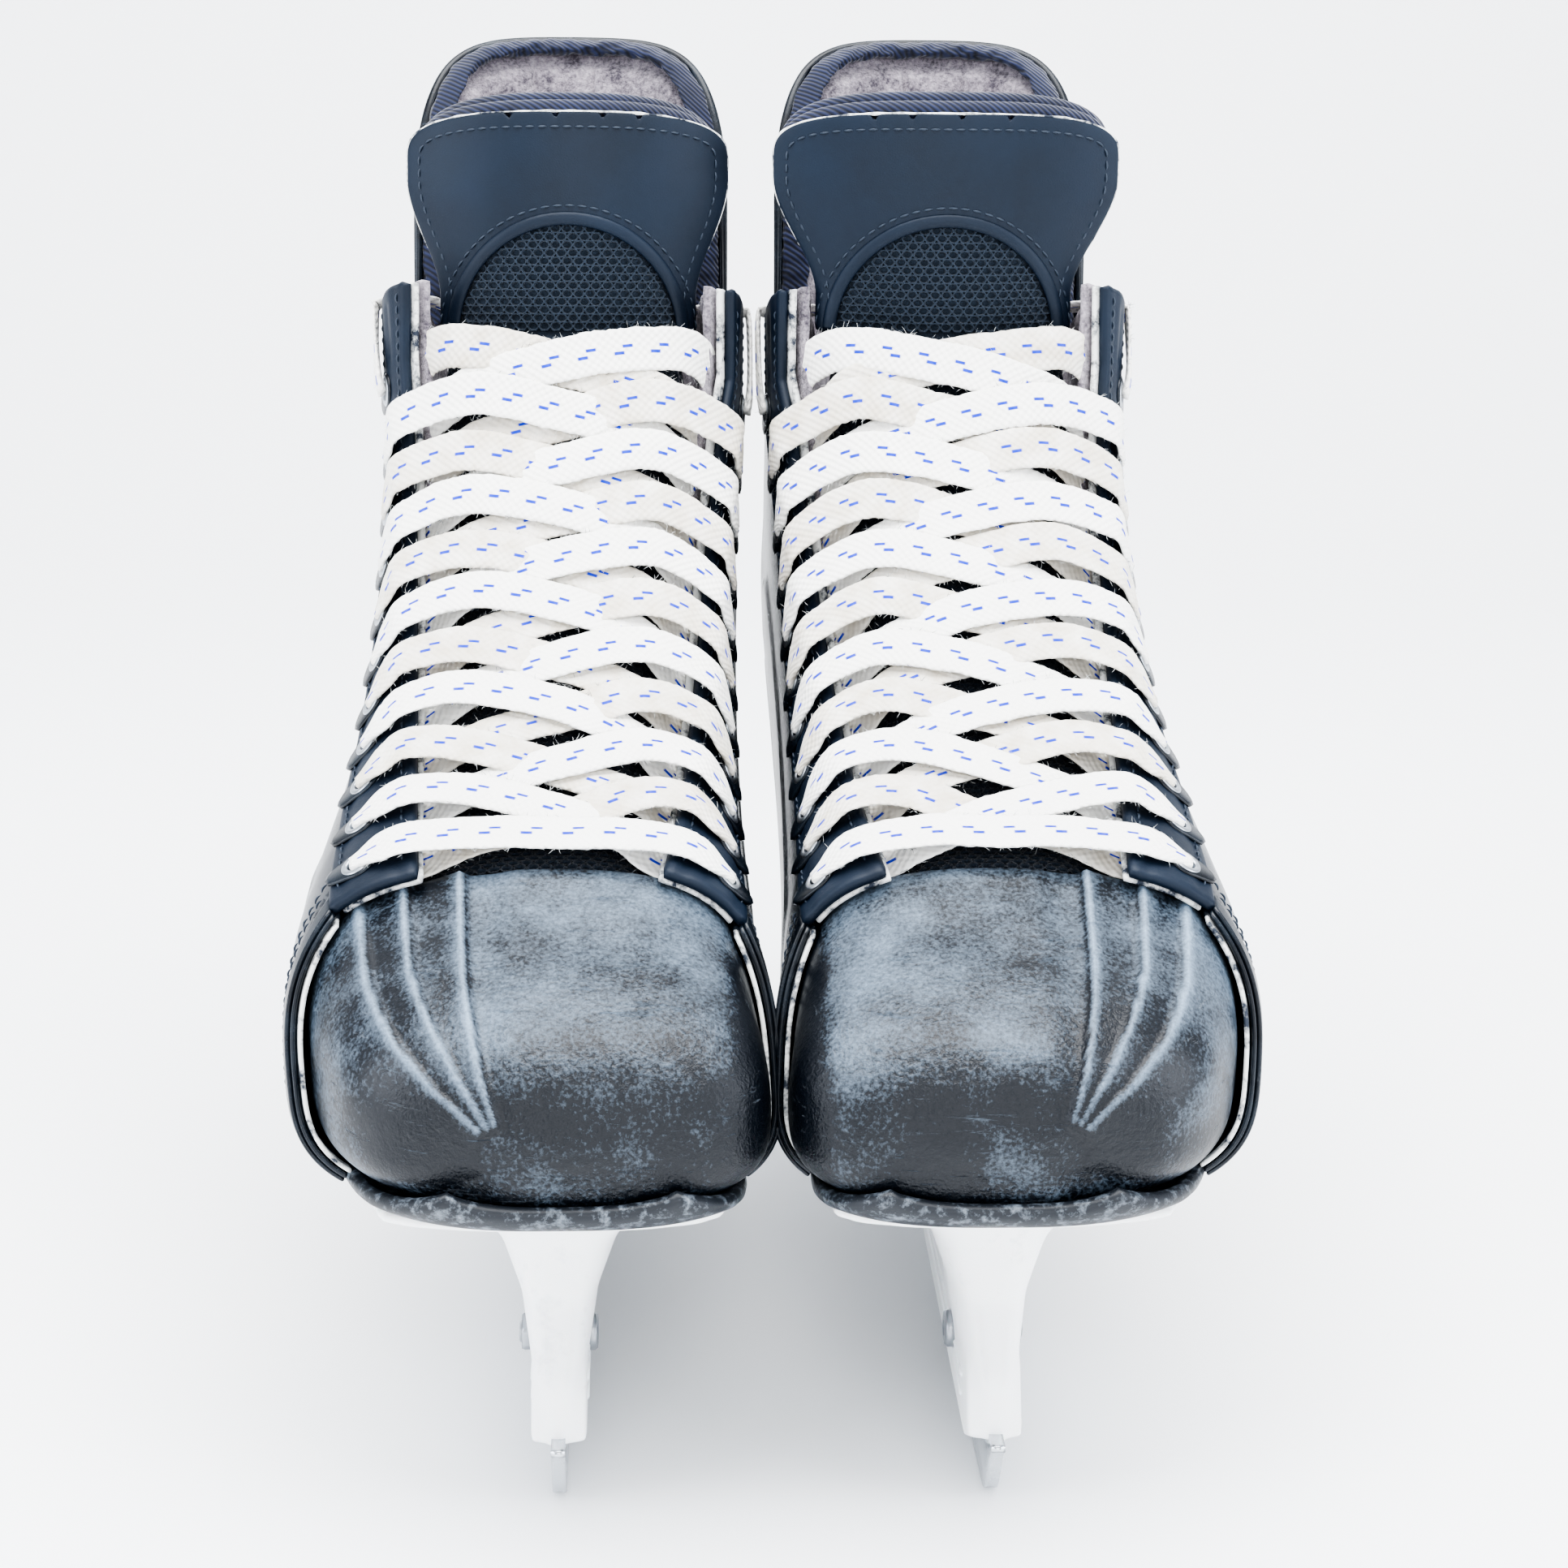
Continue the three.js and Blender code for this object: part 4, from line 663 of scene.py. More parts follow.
for foot in FEET:
    for side, side_name in ((-1, "outer"), (1, "inner")):
        s, back = grid_of(np.linspace(QUARTER_FRONT[1] + 0.02, COLLAR, 170), np.linspace(EYESTAY_BACK, 0.4, 16))
        # It is pressed down a little between its two rows of stitching.
        hollow = 0.35 * np.exp(-(((back - 15.4) / 1.2) ** 2)) + 0.35 * np.exp(-(((back - 3.2) / 1.1) ** 2))
        slots = 0.5 * np.exp(-(((back - 8.0) / 1.1) ** 2)) * ease(s, 11.5, 11.7) * ease(12.8 - s, 0, 0.2)
        outside = facing_point(s, side, back, QUARTER_IN + EYESTAY_WALL - hollow - slots)
        core = facing_point(s, side, back, QUARTER_IN + 1.5)
        inside = facing_point(s, side, back, QUARTER_IN)
        make(foot, f"{side_name}_eyestay_skin", *closed(outside, core)[:2], leathercloth, "synthetic_leather",
             replaced=[f"{side_name}_eyestay"])
        trimmed = np.minimum(back, EYESTAY_BACK - 0.3) - 1.1
        liner_out = facing_point(s, side, np.maximum(trimmed, -0.9), QUARTER_IN + 1.6)
        liner_in = facing_point(s, side, np.maximum(trimmed, -0.9), QUARTER_IN + 0.1)
        make(foot, f"{side_name}_eyestay_edge", *closed(liner_out, liner_in)[:2], cut_edge, "felt")
        for row, back_row in enumerate((16.4, 2.4)):
            line, normals = surface_line(
                lambda t, lift: facing_point(mix(4.95, 12.9, t), side, back_row,
                                             QUARTER_IN + EYESTAY_WALL - 0.15 + lift), 300)
            stitches(foot, f"{side_name}_eyestay_seam_{row + 1}", line, normals, slot="synthetic_leather")
        points, faces = [], []
        drop_points, drop_faces = [], []
        hole_points, hole_faces = [], []
        for s_eyelet in eyelet_sections:
            turn = facing_turn(round(float(s_eyelet), 4), side, EYELET_BACK)
            centre = layer(s_eyelet, turn, QUARTER_IN + EYESTAY_WALL)
            normal = outward(s_eyelet, turn)
            behind = facing_point(s_eyelet, side, EYELET_BACK + 1, 0.0)
            behind = behind - facing_point(s_eyelet, side, EYELET_BACK, 0.0)
            behind -= normal * (behind @ normal)
            behind /= np.linalg.norm(behind)
            along = np.cross(normal, behind)
            first = len(points)
            for a in circle(28):
                way = behind * math.cos(a) + along * math.sin(a)
                for b in circle(10):
                    points.append(centre + way * (EYELET_HOLE_R + 0.75 + 0.85 * math.cos(b))
                                  + normal * (0.25 + 0.55 * math.sin(b)))
            ring = grid_faces(29, 10, wrap=True, first=0)
            faces += [[first + k % 280 for k in face] for face in ring]
            first = len(drop_points)
            for shrink, lift in ((1.0, -0.4), (1.0, 0.25), (0.9, 0.5), (0.3, 0.5)):
                for a in circle(32):
                    reach = 4.6 + 3.6 * max(math.cos(a), 0) ** 6
                    way = behind * math.cos(a) + along * math.sin(a)
                    drop_points.append(centre + way * reach * shrink + normal * lift)
            drop_faces += grid_faces(4, 32, wrap=True, first=first)
            drop_faces.append([first + k for k in range(32)])
            drop_faces.append([first + 96 + k for k in range(32)])
            first = len(hole_points)
            for lift in (0.3, 0.75):
                for a in circle(20):
                    way = behind * math.cos(a) + along * math.sin(a)
                    hole_points.append(centre + way * EYELET_HOLE_R * 0.98 + normal * lift * 0.7)
            hole_faces += grid_faces(2, 20, wrap=True, first=first)
            hole_faces += [[first + k for k in range(20)], [first + 20 + k for k in range(20)]]
        make(foot, f"{side_name}_eyelets", np.array(points), faces, eyelet_steel, "zinc_steel")
        make(foot, f"{side_name}_eyelet_bosses", np.array(drop_points), drop_faces, film, "quarter_laminate")
        make(foot, f"{side_name}_eyelet_bores", np.array(hole_points), hole_faces, composite, "composite")

# ---------------------------------------------------------------- padding
# Brushed terry over foam lines each boot beside the ankle and behind the heel. Its rolled edge shows round the
# collar and beside the throat, matted and fuzzy where it has been gripped and pulled.

# Terry felt: grey loops about a millimetre across, their tips painted lighter and the hollows between them darker as
# painted light and shade, with a soft dusty sheen.
terry, tree, shader = finish("brushed_terry_felt", 0x6B656E, 0.95, Sheen_Weight=0.35, Sheen_Roughness=0.6)
spots = add(tree, "TexCoord").outputs["Object"]
loops = add(tree, "TexNoise", {"Vector": spots, "Scale": 1 / (1.1 * MM), "Detail": 3, "Roughness": 0.7})
clumps = add(tree, "TexNoise", {"Vector": spots, "Scale": 1 / (8 * MM), "Detail": 4, "Roughness": 0.6})
# Painted light and shade: the colour rises with the loops' bump height, so tips are lighter and hollows darker,
# varied by larger random clumps.
lit = add(tree, "Math", {0: loops.outputs[0], 1: clumps.outputs[0]}, operation="ADD")
tip = add(tree, "MapRange", {"Value": lit.outputs[0], "From Min": 0.75, "From Max": 1.25})
tint = add(tree, "Mix", {0: tip.outputs[0], 6: linear(0x453F4A), 7: linear(0xB3ABB4)}, data_type="RGBA")
tree.links.new(tint.outputs[2], shader.inputs["Base Color"])
bump = add(tree, "Bump", {"Height": loops.outputs[0], "Distance": 1.0 * MM, "Strength": 0.8})
tree.links.new(bump.outputs[0], shader.inputs["Normal"])


def matted(points, size=2.4, depth=0.35, seed=0.0):
    """The same points, moved a little as matted pile is."""
    points = np.array(points)
    for axis in range(3):
        points[..., axis] += depth * pebbles(points, size, seed + 2.1 * axis)
    return points


def swollen(piece, smaller, pressure=4.0, cap=2.0):
    """Blows a soft piece up a little as cloth, from a remeshed copy, with how far its points may move capped."""
    remesh = piece.modifiers.new("remesh", "REMESH")
    remesh.mode = "VOXEL"
    remesh.voxel_size = smaller * MM
    remesh.use_smooth_shade = True
    graph = bpy.context.evaluated_depsgraph_get()
    before = bpy.data.meshes.new_from_object(piece.evaluated_get(graph))
    piece.modifiers.clear()
    piece.data = before
    start = np.array([v.co for v in before.vertices])
    cloth = piece.modifiers.new("cloth", "CLOTH")
    cloth.settings.use_pressure = True
    cloth.settings.uniform_pressure_force = pressure
    cloth.settings.effector_weights.gravity = 0
    cloth.settings.tension_stiffness = 30
    for frame_number in range(1, 21):
        bpy.context.scene.frame_set(frame_number)
    graph = bpy.context.evaluated_depsgraph_get()
    moved = np.array([v.co for v in piece.evaluated_get(graph).data.vertices])
    piece.modifiers.clear()
    bpy.context.scene.frame_set(1)
    way = moved - start
    far = np.linalg.norm(way, axis=1, keepdims=True) + 1e-12
    final = start + way * np.minimum(1, cap * MM / far)
    before.vertices.foreach_set("co", final.astype(np.float32).ravel())
    smooth = piece.modifiers.new("smooth", "SUBSURF")
    smooth.levels = smooth.render_levels = 1
    applied = bpy.data.meshes.new_from_object(piece.evaluated_get(bpy.context.evaluated_depsgraph_get()))
    piece.modifiers.clear()
    piece.data = applied
    applied.shade_smooth()


PAD_FRONT = 7.6
PAD_TURN = math.radians(52)
PAD_IN = 1.0
PAD_WALL = 9.5
PAD_FRONT_WALL = 4.5
PAD_SWELL = 0.7  # how much thinner each pad starts than it ends
for foot in FEET:
    for side, side_name in ((-1, "outer"), (1, "inner")):
        s = np.linspace(PAD_FRONT, COLLAR, 90)
        backs = mix(20.0, 0.6, ease(s, COLLAR - 0.6, COLLAR - 0.1))
        ends = [facing_turn(round(float(a), 4), side, round(float(b), 3)) for a, b in zip(s, backs)]
        turns = turns_between(s, side * PAD_TURN * np.ones_like(s), ends, 50)
        v = np.linspace(0, 1, 51)[None]
        s_grid = np.repeat(s[:, None], 51, 1)
        thick = mix(PAD_WALL, PAD_FRONT_WALL, v * v) - PAD_SWELL
        outside = layer(s_grid, turns, -PAD_IN - PAD_SWELL / 2 + 0 * s_grid)
        inside = layer(s_grid, turns, -PAD_IN - PAD_SWELL / 2 - thick + 0 * s_grid)
        points, faces, _ = closed(outside, inside, 5)
        pad = make(foot, f"{side_name}_ankle_padding", points, faces, terry, "felt",
                   replaced=[f"{side_name}_ankle_pad"])
        swollen(pad, 2.2, cap=1.2)
        # The felt stands up beside the throat and round the collar as a thin rolled edge.
        u = np.linspace(0, 1, 120)
        s_edge = mix(8.6, COLLAR, u)
        s_grid, back = grid_of(s_edge, np.linspace(6.0, -1.6, 8))
        front = facing_point(s_grid, side, np.maximum(back, -1.9), -0.35 - 0 * back)
        behind = facing_point(s_grid, side, np.maximum(back, -1.9), -2.2 - 0 * back)
        points, faces, _ = closed(front, behind, 4)
        make(foot, f"{side_name}_throat_felt", matted(points, 1.8, 0.3, side), faces, terry, "felt")
    s_grid, share = grid_of(np.linspace(10.75, COLLAR, 70), np.linspace(-1, 1, 70))
    turns = share * (PAD_TURN - math.radians(2))
    points, faces, _ = closed(layer(s_grid, turns, -PAD_IN), layer(s_grid, turns, -PAD_IN - 6.6), 5)
    pad = make(foot, "heel_padding", points, faces, terry, "felt", replaced=["heel_pad"])
    swollen(pad, 2.2, cap=1.0)
    # Behind the toe the same felt lines the cap.
    rings = np.linspace(0.3, 4.72, 50)
    turns = np.array([even_turns(round(float(s), 3), -math.pi, math.pi, 120)[:-1] for s in rings])
    s_grid = np.repeat(rings[:, None], 120, 1)
    outer = layer(s_grid, turns, -3.9 + 0 * s_grid)
    inner = layer(s_grid, turns, -6.1 + 0 * s_grid)[::-1]
    inner[:, :, 1] = np.maximum(inner[:, :, 1], -133)
    rings_all = np.concatenate([outer, inner[:-3]])
    faces = grid_faces(len(rings_all), 120, wrap=True)
    faces.append(list(range(120))[::-1])
    faces.append([(len(rings_all) - 1) * 120 + k for k in range(120)])
    make(foot, "toe_lining", rings_all.reshape(-1, 3), faces, terry, "felt", replaced=["toe_liner"])

# ---------------------------------------------------------------- backstays
# A moulded strip of the same film-faced laminate covers the seam behind the heel, sewn down each side.
BACKSTAY_START = HEEL_END + 0.7
BACKSTAY_TURNS = (26, 12)  # half its width at its foot and at the collar, in degrees round the boot
BACKSTAY_IN = QUARTER_IN + QUARTER_WALL + 0.1
BACKSTAY_OUT = BACKSTAY_IN + 2.1


def backstay_half(s):
    return np.radians(mix(*BACKSTAY_TURNS, (s - BACKSTAY_START) / (COLLAR - 0.05 - BACKSTAY_START)))


for foot in FEET:
    s = np.linspace(BACKSTAY_START, COLLAR - 0.05, 90)
    s_grid, share = grid_of(s, np.linspace(-1, 1, 40))
    turns = share * backstay_half(s_grid)
    raised = 0.5 * ease(0.72 - np.abs(share), 0, 0.08)
    points, faces, _ = closed(layer(s_grid, turns, BACKSTAY_OUT + raised), layer(s_grid, turns, BACKSTAY_IN))
    make(foot, "backstay_strip", points, faces, film, "quarter_laminate", replaced=["backstay"])
    for side, side_name in ((-1, "outer"), (1, "inner")):
        def seam(t, lift, side=side):
            s = mix(BACKSTAY_START + 0.15, COLLAR - 0.2, t)
            return layer(s, side * 0.85 * backstay_half(s), BACKSTAY_OUT + lift)
        line, normals = surface_line(seam)
        stitches(foot, f"backstay_{side_name}_seam", line, normals, slot="quarter_laminate")

# ---------------------------------------------------------------- soles
# A pressed composite outsole is bonded under the boot, with a lip that shows below the cap. Inside lie a fibre
# insole board and a moulded EVA footbed under a thin brushed cover.

# Fibre board: tan pressed fibres.
board, tree, shader = finish("pressed_fibre_board", 0x8F7B5C, 0.9)
spots = add(tree, "TexCoord").outputs["Object"]
fibres = add(tree, "TexNoise", {"Vector": spots, "Scale": 1 / (1.5 * MM), "Detail": 5, "Distortion": 1.5})
tint = add(tree, "Mix", {0: fibres.outputs[0], 6: linear(0x6E5C42), 7: linear(0xB09A78)}, data_type="RGBA")
tree.links.new(tint.outputs[2], shader.inputs["Base Color"])

# EVA foam under brushed nylon: charcoal with fine pores.
eva, tree, shader = finish("eva_foam", 0x2C2E33, 0.9, Sheen_Weight=0.2)
spots = add(tree, "TexCoord").outputs["Object"]
pores = add(tree, "TexVoronoi", {"Vector": spots, "Scale": 1 / (1.4 * MM)})
# The pores are painted darker where the bump sinks them, as painted shade in their hollows.
tint = add(tree, "Mix", {0: pores.outputs[0], 6: linear(0x1F2125), 7: linear(0x3D4047)}, data_type="RGBA")
tree.links.new(tint.outputs[2], shader.inputs["Base Color"])
bump = add(tree, "Bump", {"Height": pores.outputs[0], "Distance": 0.5 * MM, "Strength": 0.5})
tree.links.new(bump.outputs[0], shader.inputs["Normal"])

OUTSOLE_IN = 0.5
OUTSOLE_WALL = 3.6
BOARD_TURN = math.radians(28)


def under_foot(s_from, s_to, half_turn, outside, inside, rows=120, columns=60):
    """A closed sheet under the foot, between two distances out of the last."""
    s = np.linspace(s_from, s_to, rows)
    turns = turns_between(s, -half_turn * np.ones_like(s), half_turn * np.ones_like(s), columns)
    s_grid = np.repeat(s[:, None], columns + 1, 1)
    return closed(layer(s_grid, turns, outside + 0 * s_grid), layer(s_grid, turns, inside + 0 * s_grid), 4)[:2]


for foot in FEET:
    make(foot, "outsole_plate", *under_foot(0.9, HEEL_END, SOLE_TURN, OUTSOLE_IN + OUTSOLE_WALL, OUTSOLE_IN),
         composite, "composite", replaced=["outsole"])
    make(foot, "lasting_board", *under_foot(5.07, 9.5, BOARD_TURN, -0.9, -3.3), board, "board",
         replaced=["insole_board"])
    make(foot, "moulded_footbed", *under_foot(5.07, 9.5, BOARD_TURN, -3.6, -8.1), eva, "foam",
         replaced=["footbed"])
    # The stiff counter shows behind the heel, between the quarters and the sole.
    make(foot, "heel_counter", *under_foot(HEEL_END - 0.6, HEEL_END + 1.2, math.radians(75), 1.0, -0.6),
         composite, "composite")
    # The lip of the sole runs round the toe below the cap.
    t = np.linspace(-1, 1, 200)
    s_lip = 0.9 + 4.0 * np.abs(t) ** 3.0
    s_front, turn_front = np.maximum(s_lip, 0.9), np.sign(t) * SOLE_TURN * np.minimum(np.abs(t) * 3.0, 1)
    centre = layer(s_front, turn_front, 1.9)
    tangent = np.gradient(centre, axis=0)
    tangent /= np.linalg.norm(tangent, axis=1, keepdims=True)
    out_way = outward(s_front, turn_front)
    side_way = np.cross(tangent, out_way)
    side_way /= np.linalg.norm(side_way, axis=1, keepdims=True)
    rings = []
    for a in circle(14):
        rings.append(centre + out_way * 1.5 * math.cos(a) + side_way * 1.3 * math.sin(a))
    points = np.stack(rings, 1)
    faces = grid_faces(len(t), 14, wrap=True)
    faces += [list(range(14)), [(len(t) - 1) * 14 + k for k in range(14)]]
    make(foot, "welt_lip", points.reshape(-1, 3), faces, composite, "composite")

# ---------------------------------------------------------------- blade holders
# Each holder is one injection moulding in white glass-filled nylon: a front and a rear tower on flanges that are
# riveted to the sole, joined by a rail that is slotted for the steel.

# Glass-filled nylon: bright satin white, a little waxy, with faint grey rub marks.
nylon, tree, shader = finish("glass_filled_nylon", 0xF3F5F6, 0.32, Subsurface_Weight=0.1,
                             Subsurface_Scale=3 * MM)
spots = add(tree, "TexCoord").outputs["Object"]
rubbed = add(tree, "TexNoise", {"Vector": spots, "Scale": 1 / (14 * MM), "Detail": 8, "Roughness": 0.75})
grey = add(tree, "MapRange", {"Value": rubbed.outputs[0], "From Min": 0.56, "From Max": 0.8, "To Max": 0.6})
tint = add(tree, "Mix", {0: grey.outputs[0], 6: linear(0xF6F8F9), 7: linear(0xAEB4BA)}, data_type="RGBA")
tree.links.new(tint.outputs[2], shader.inputs["Base Color"])
bump = add(tree, "Bump", {"Height": rubbed.outputs[0], "Distance": 0.1 * MM, "Strength": 0.5})
tree.links.new(bump.outputs[0], shader.inputs["Normal"])

RUNNER_HALF = 134
RAIL_BOTTOM = 12.5
RAIL_TOP = 29
RAIL_HALF = 6
HOLDER_VOXEL = 1.3
# Each tower's outline from the rail up: height, middle along the boot, half length and half width.
FRONT_TOWER = [(16.5, -92, 37, 5.5), (30, -90, 36, 6.6), (44, -85, 33, 9), (57, -83, 34, 14), (66, -82, 37, 22)]
REAR_TOWER = [(16.5, 96, 36, 5.5), (32, 96, 34, 6.6), (50, 96, 28, 9), (66, 96, 28, 13), (76.5, 96, 30, 20)]
FLANGES = ((3.1, 5.9), (8.55, 9.9))
FLANGE_OUT = 8.4
FLANGE_WALL = 3.4
FLANGE_TURN = math.radians(36)
RAIL_RIBS = (20.0, 24.5)  # how high each low rib along the rail lies
RAIL_RIB_REACH = 112


def plan_ring(z, y_middle, half_length, half_width, count=64):
    a = circle(count)
    round_off = 2 / 3.4
    x = np.sign(np.cos(a)) * np.abs(np.cos(a)) ** round_off * half_width
    y = np.sign(np.sin(a)) * np.abs(np.sin(a)) ** round_off * half_length
    return np.stack([x, y_middle + y, np.full(count, z)], 1)


def tube(rings):
    """A closed solid through rings of points, with flat ends: (points, faces)."""
    count = len(rings[0])
    faces = grid_faces(len(rings), count, wrap=True)
    faces += [list(range(count))[::-1], [(len(rings) - 1) * count + k for k in range(count)]]
    return np.concatenate(rings), faces


def merged(parts):
    points, faces = [], []
    for part_points, part_faces in parts:
        first = sum(map(len, points))
        points.append(part_points)
        faces += [[first + k for k in face] for face in part_faces]
    return np.concatenate(points), faces


def moulded(piece, voxel, smoothing):
    """Melts a piece's parts into one moulding, with its inner corners filled and its edges rounded."""
    remesh = piece.modifiers.new("melt", "REMESH")
    remesh.mode = "VOXEL"
    remesh.voxel_size = voxel * MM
    smooth = piece.modifiers.new("round", "SMOOTH")
    smooth.factor = 0.5
    smooth.iterations = smoothing
    graph = bpy.context.evaluated_depsgraph_get()
    melted = bpy.data.meshes.new_from_object(piece.evaluated_get(graph))
    piece.modifiers.clear()
    piece.data = melted
    melted.shade_smooth()


for foot in FEET:
    parts = []
    for tower in (FRONT_TOWER, REAR_TOWER):
        heights = np.linspace(tower[0][0], tower[-1][0], 30)
        columns = np.array(tower, float)
        eased = [np.interp(heights, columns[:, 0], columns[:, k]) for k in range(4)]
        parts.append(tube([plan_ring(*row) for row in zip(*eased)]))
    half = RUNNER_HALF
    outline = np.array(
        [(-half + 6, 17.5), (-half + 16, RAIL_BOTTOM), (half - 16, RAIL_BOTTOM), (half - 5, 17.5),
         (half - 8, 32), (60, RAIL_TOP), (-50, RAIL_TOP), (-half + 14, 32)]
    )
    parts.append(tube([np.insert(outline, 0, x, axis=1) for x in (-RAIL_HALF, RAIL_HALF)]))
    for low, high in FLANGES:
        parts.append(under_foot(low, high, FLANGE_TURN, FLANGE_OUT, FLANGE_OUT - FLANGE_WALL, 24, 24))
    holder = make(foot, "holder_moulding", *merged(parts), nylon, "white_nylon", replaced=["blade_holder"])
    moulded(holder, HOLDER_VOXEL, 5)
    # Two low ribs stand along each side of the rail.
    rib_parts = []
    for side in (-1, 1):
        for z in RAIL_RIBS:
            line = np.linspace(-RAIL_RIB_REACH, RAIL_RIB_REACH, 60)
            ring = []
            for a in circle(8):
                x = side * (RAIL_HALF - 0.4 + 0.9 * math.cos(a))
                ring.append(np.stack([x + 0 * line, line, z + 0.8 * math.sin(a) + 0 * line], 1))
            rib_parts.append(tube(list(np.stack(ring, 1))))
    make(foot, "holder_ribs", *merged(rib_parts), nylon, "white_nylon")

# ---------------------------------------------------------------- runners
# The runner is a 3 mm blade of hardened stainless steel, rockered along its edge, ground bright on its flats and
# held in the holder by a bolt and nut through each tower.

# Ground stainless steel: fine vertical grinding lines on a bright flat.
steel, tree, shader = finish("ground_stainless_steel", 0xC9CDD1, 0.22, Metallic=1.0)
spots = add(tree, "TexCoord").outputs["Object"]
ground = add(tree, "Mapping", {"Vector": spots, "Scale": (1, 1, 0.05)})
grinding = add(tree, "TexNoise", {"Vector": ground.outputs[0], "Scale": 1 / (0.5 * MM), "Detail": 3})
smudge = add(tree, "TexNoise", {"Vector": spots, "Scale": 1 / (12 * MM), "Detail": 4})
rough = add(tree, "MapRange", {"Value": smudge.outputs[0], "To Min": 0.14, "To Max": 0.38})
tree.links.new(rough.outputs[0], shader.inputs["Roughness"])
bump = add(tree, "Bump", {"Height": grinding.outputs[0], "Distance": 0.02 * MM, "Strength": 0.5})
tree.links.new(bump.outputs[0], shader.inputs["Normal"])

# Zinc-plated steel: slightly blue and cloudy.
zinc, tree, shader = finish("zinc_plated_steel", 0xA7ABB0, 0.35, Metallic=1.0)
spots = add(tree, "TexCoord").outputs["Object"]
cloud = add(tree, "TexNoise", {"Vector": spots, "Scale": 1 / (3 * MM), "Detail": 4})
rough = add(tree, "MapRange", {"Value": cloud.outputs[0], "To Min": 0.22, "To Max": 0.55})
tree.links.new(rough.outputs[0], shader.inputs["Roughness"])

RUNNER_FLAT_HALF = 60
RUNNER_TOP = 18.5
ROCKER_RADIUS = 2700
# The blade's section as (x, lift off the edge, whether it's on the top). Its edge is hollow ground, so its two
# corners bite and its middle is a shade higher.
BLADE_SECTION = [(-1.5, 0.25, 0), (-1.32, 0, 0), (-0.6, 0.12, 0), (0, 0.16, 0), (0.6, 0.12, 0), (1.32, 0, 0),
                 (1.5, 0.25, 0), (1.5, 0, 1), (-1.5, 0, 1)]
BOLT_Z = 26
BOLTS = {"front": -92, "rear": 96}
# The bolt's head with its hexagon socket, and the nut over the bolt's end: x, radius and how hexagonal it is there.
HEAD_RINGS = [(5.5, 4.3, 0), (7.6, 4.3, 0), (8.2, 3.7, 0), (8.3, 3.0, 0), (8.3, 1.75, 1), (6.9, 1.7, 1)]
NUT_RINGS = [(-5.5, 4.0, 1), (-8.4, 4.0, 1), (-8.9, 3.9, 0.4), (-8.9, 2.6, 0), (-9.3, 2.3, 0), (-9.5, 1.9, 0)]
RIVET_SECTIONS = (3.5, 4.1, 4.9, 5.5, 8.75, 9.3, 9.75)
RIVET_TURN = 24
RIVET_RINGS = ((3.6, 0), (3.4, 0.7), (2.6, 1.15), (1.2, 1.35))
for foot in FEET:
    y = np.linspace(-RUNNER_HALF, RUNNER_HALF, 241)
    rocker = np.maximum(0, np.abs(y) - RUNNER_FLAT_HALF) ** 2 / (2 * ROCKER_RADIUS)
    edge = rocker + 16 * ease(np.abs(y), RUNNER_HALF - 17, RUNNER_HALF) ** 1.6
    rings = []
    for x, lift, top in BLADE_SECTION:
        height = np.maximum(edge + lift, RUNNER_TOP) if top else edge + lift
        rings.append(np.stack([np.full_like(y, x), y, height], 1))
    points, faces = tube(list(np.stack(rings, 1)))
    make(foot, "runner_blade", points, faces, steel, "stainless_steel", replaced=["runner"])
    for end, bolt_y in BOLTS.items():
        a = circle(40)
        hexagon = 1 / np.cos((a + math.pi / 6) % (math.pi / 3) - math.pi / 6)
        for kind, profile, node in (("bolt_head", HEAD_RINGS, "bolt"), ("hex_nut", NUT_RINGS, "nut")):
            rings = []
            for x, r, hex_share in profile:
                radius = r * mix(1, hexagon, hex_share)
                ring = [np.full_like(a, x), bolt_y + radius * np.cos(a), BOLT_Z + radius * np.sin(a)]
                rings.append(np.stack(ring, 1))
            make(foot, f"{end}_{kind}", *tube(rings), zinc, "zinc_steel", replaced=[f"{end}_runner_{node}"])
    rivets = []
    for s_rivet in RIVET_SECTIONS:
        for turn in (-RIVET_TURN, RIVET_TURN):
            turn = math.radians(turn)
            centre, normal = layer(s_rivet, turn, FLANGE_OUT - 0.2), outward(s_rivet, turn)
            side_way = np.cross(normal, (0, 1, 0))
            side_way /= np.linalg.norm(side_way)
            other = np.cross(normal, side_way)
            rings = [[centre + r * (side_way * math.cos(b) + other * math.sin(b)) + normal * h
                      for b in circle(20)]
                     for r, h in RIVET_RINGS]
            rivets.append(tube([np.array(ring) for ring in rings]))
    make(foot, "sole_rivets", *merged(rivets), zinc, "zinc_steel")

# ---------------------------------------------------------------- tongues
# Each tongue is a felt pad faced with coated leathercloth, with an arched window of spacer mesh at its foot that
# runs on down under the laces. Its rim is bound in two rolls of navy twill, and its cut edge shows pale.

# Spacer mesh: knitted matt polyester, almost black in its holes.
mesh_knit, tree, shader = finish("spacer_mesh_knit", 0x1B2836, 0.8, Sheen_Weight=0.25)
spots = add(tree, "TexCoord").outputs["Object"]
yarn = add(tree, "TexNoise", {"Vector": spots, "Scale": 1 / (0.5 * MM), "Detail": 3, "Distortion": 0.6})
tint = add(tree, "Mix", {0: yarn.outputs[0], 6: linear(0x04080E), 7: linear(0x26384C)}, data_type="RGBA")
tree.links.new(tint.outputs[2], shader.inputs["Base Color"])
bump = add(tree, "Bump", {"Height": yarn.outputs[0], "Distance": 0.4 * MM, "Strength": 0.9})
tree.links.new(bump.outputs[0], shader.inputs["Normal"])

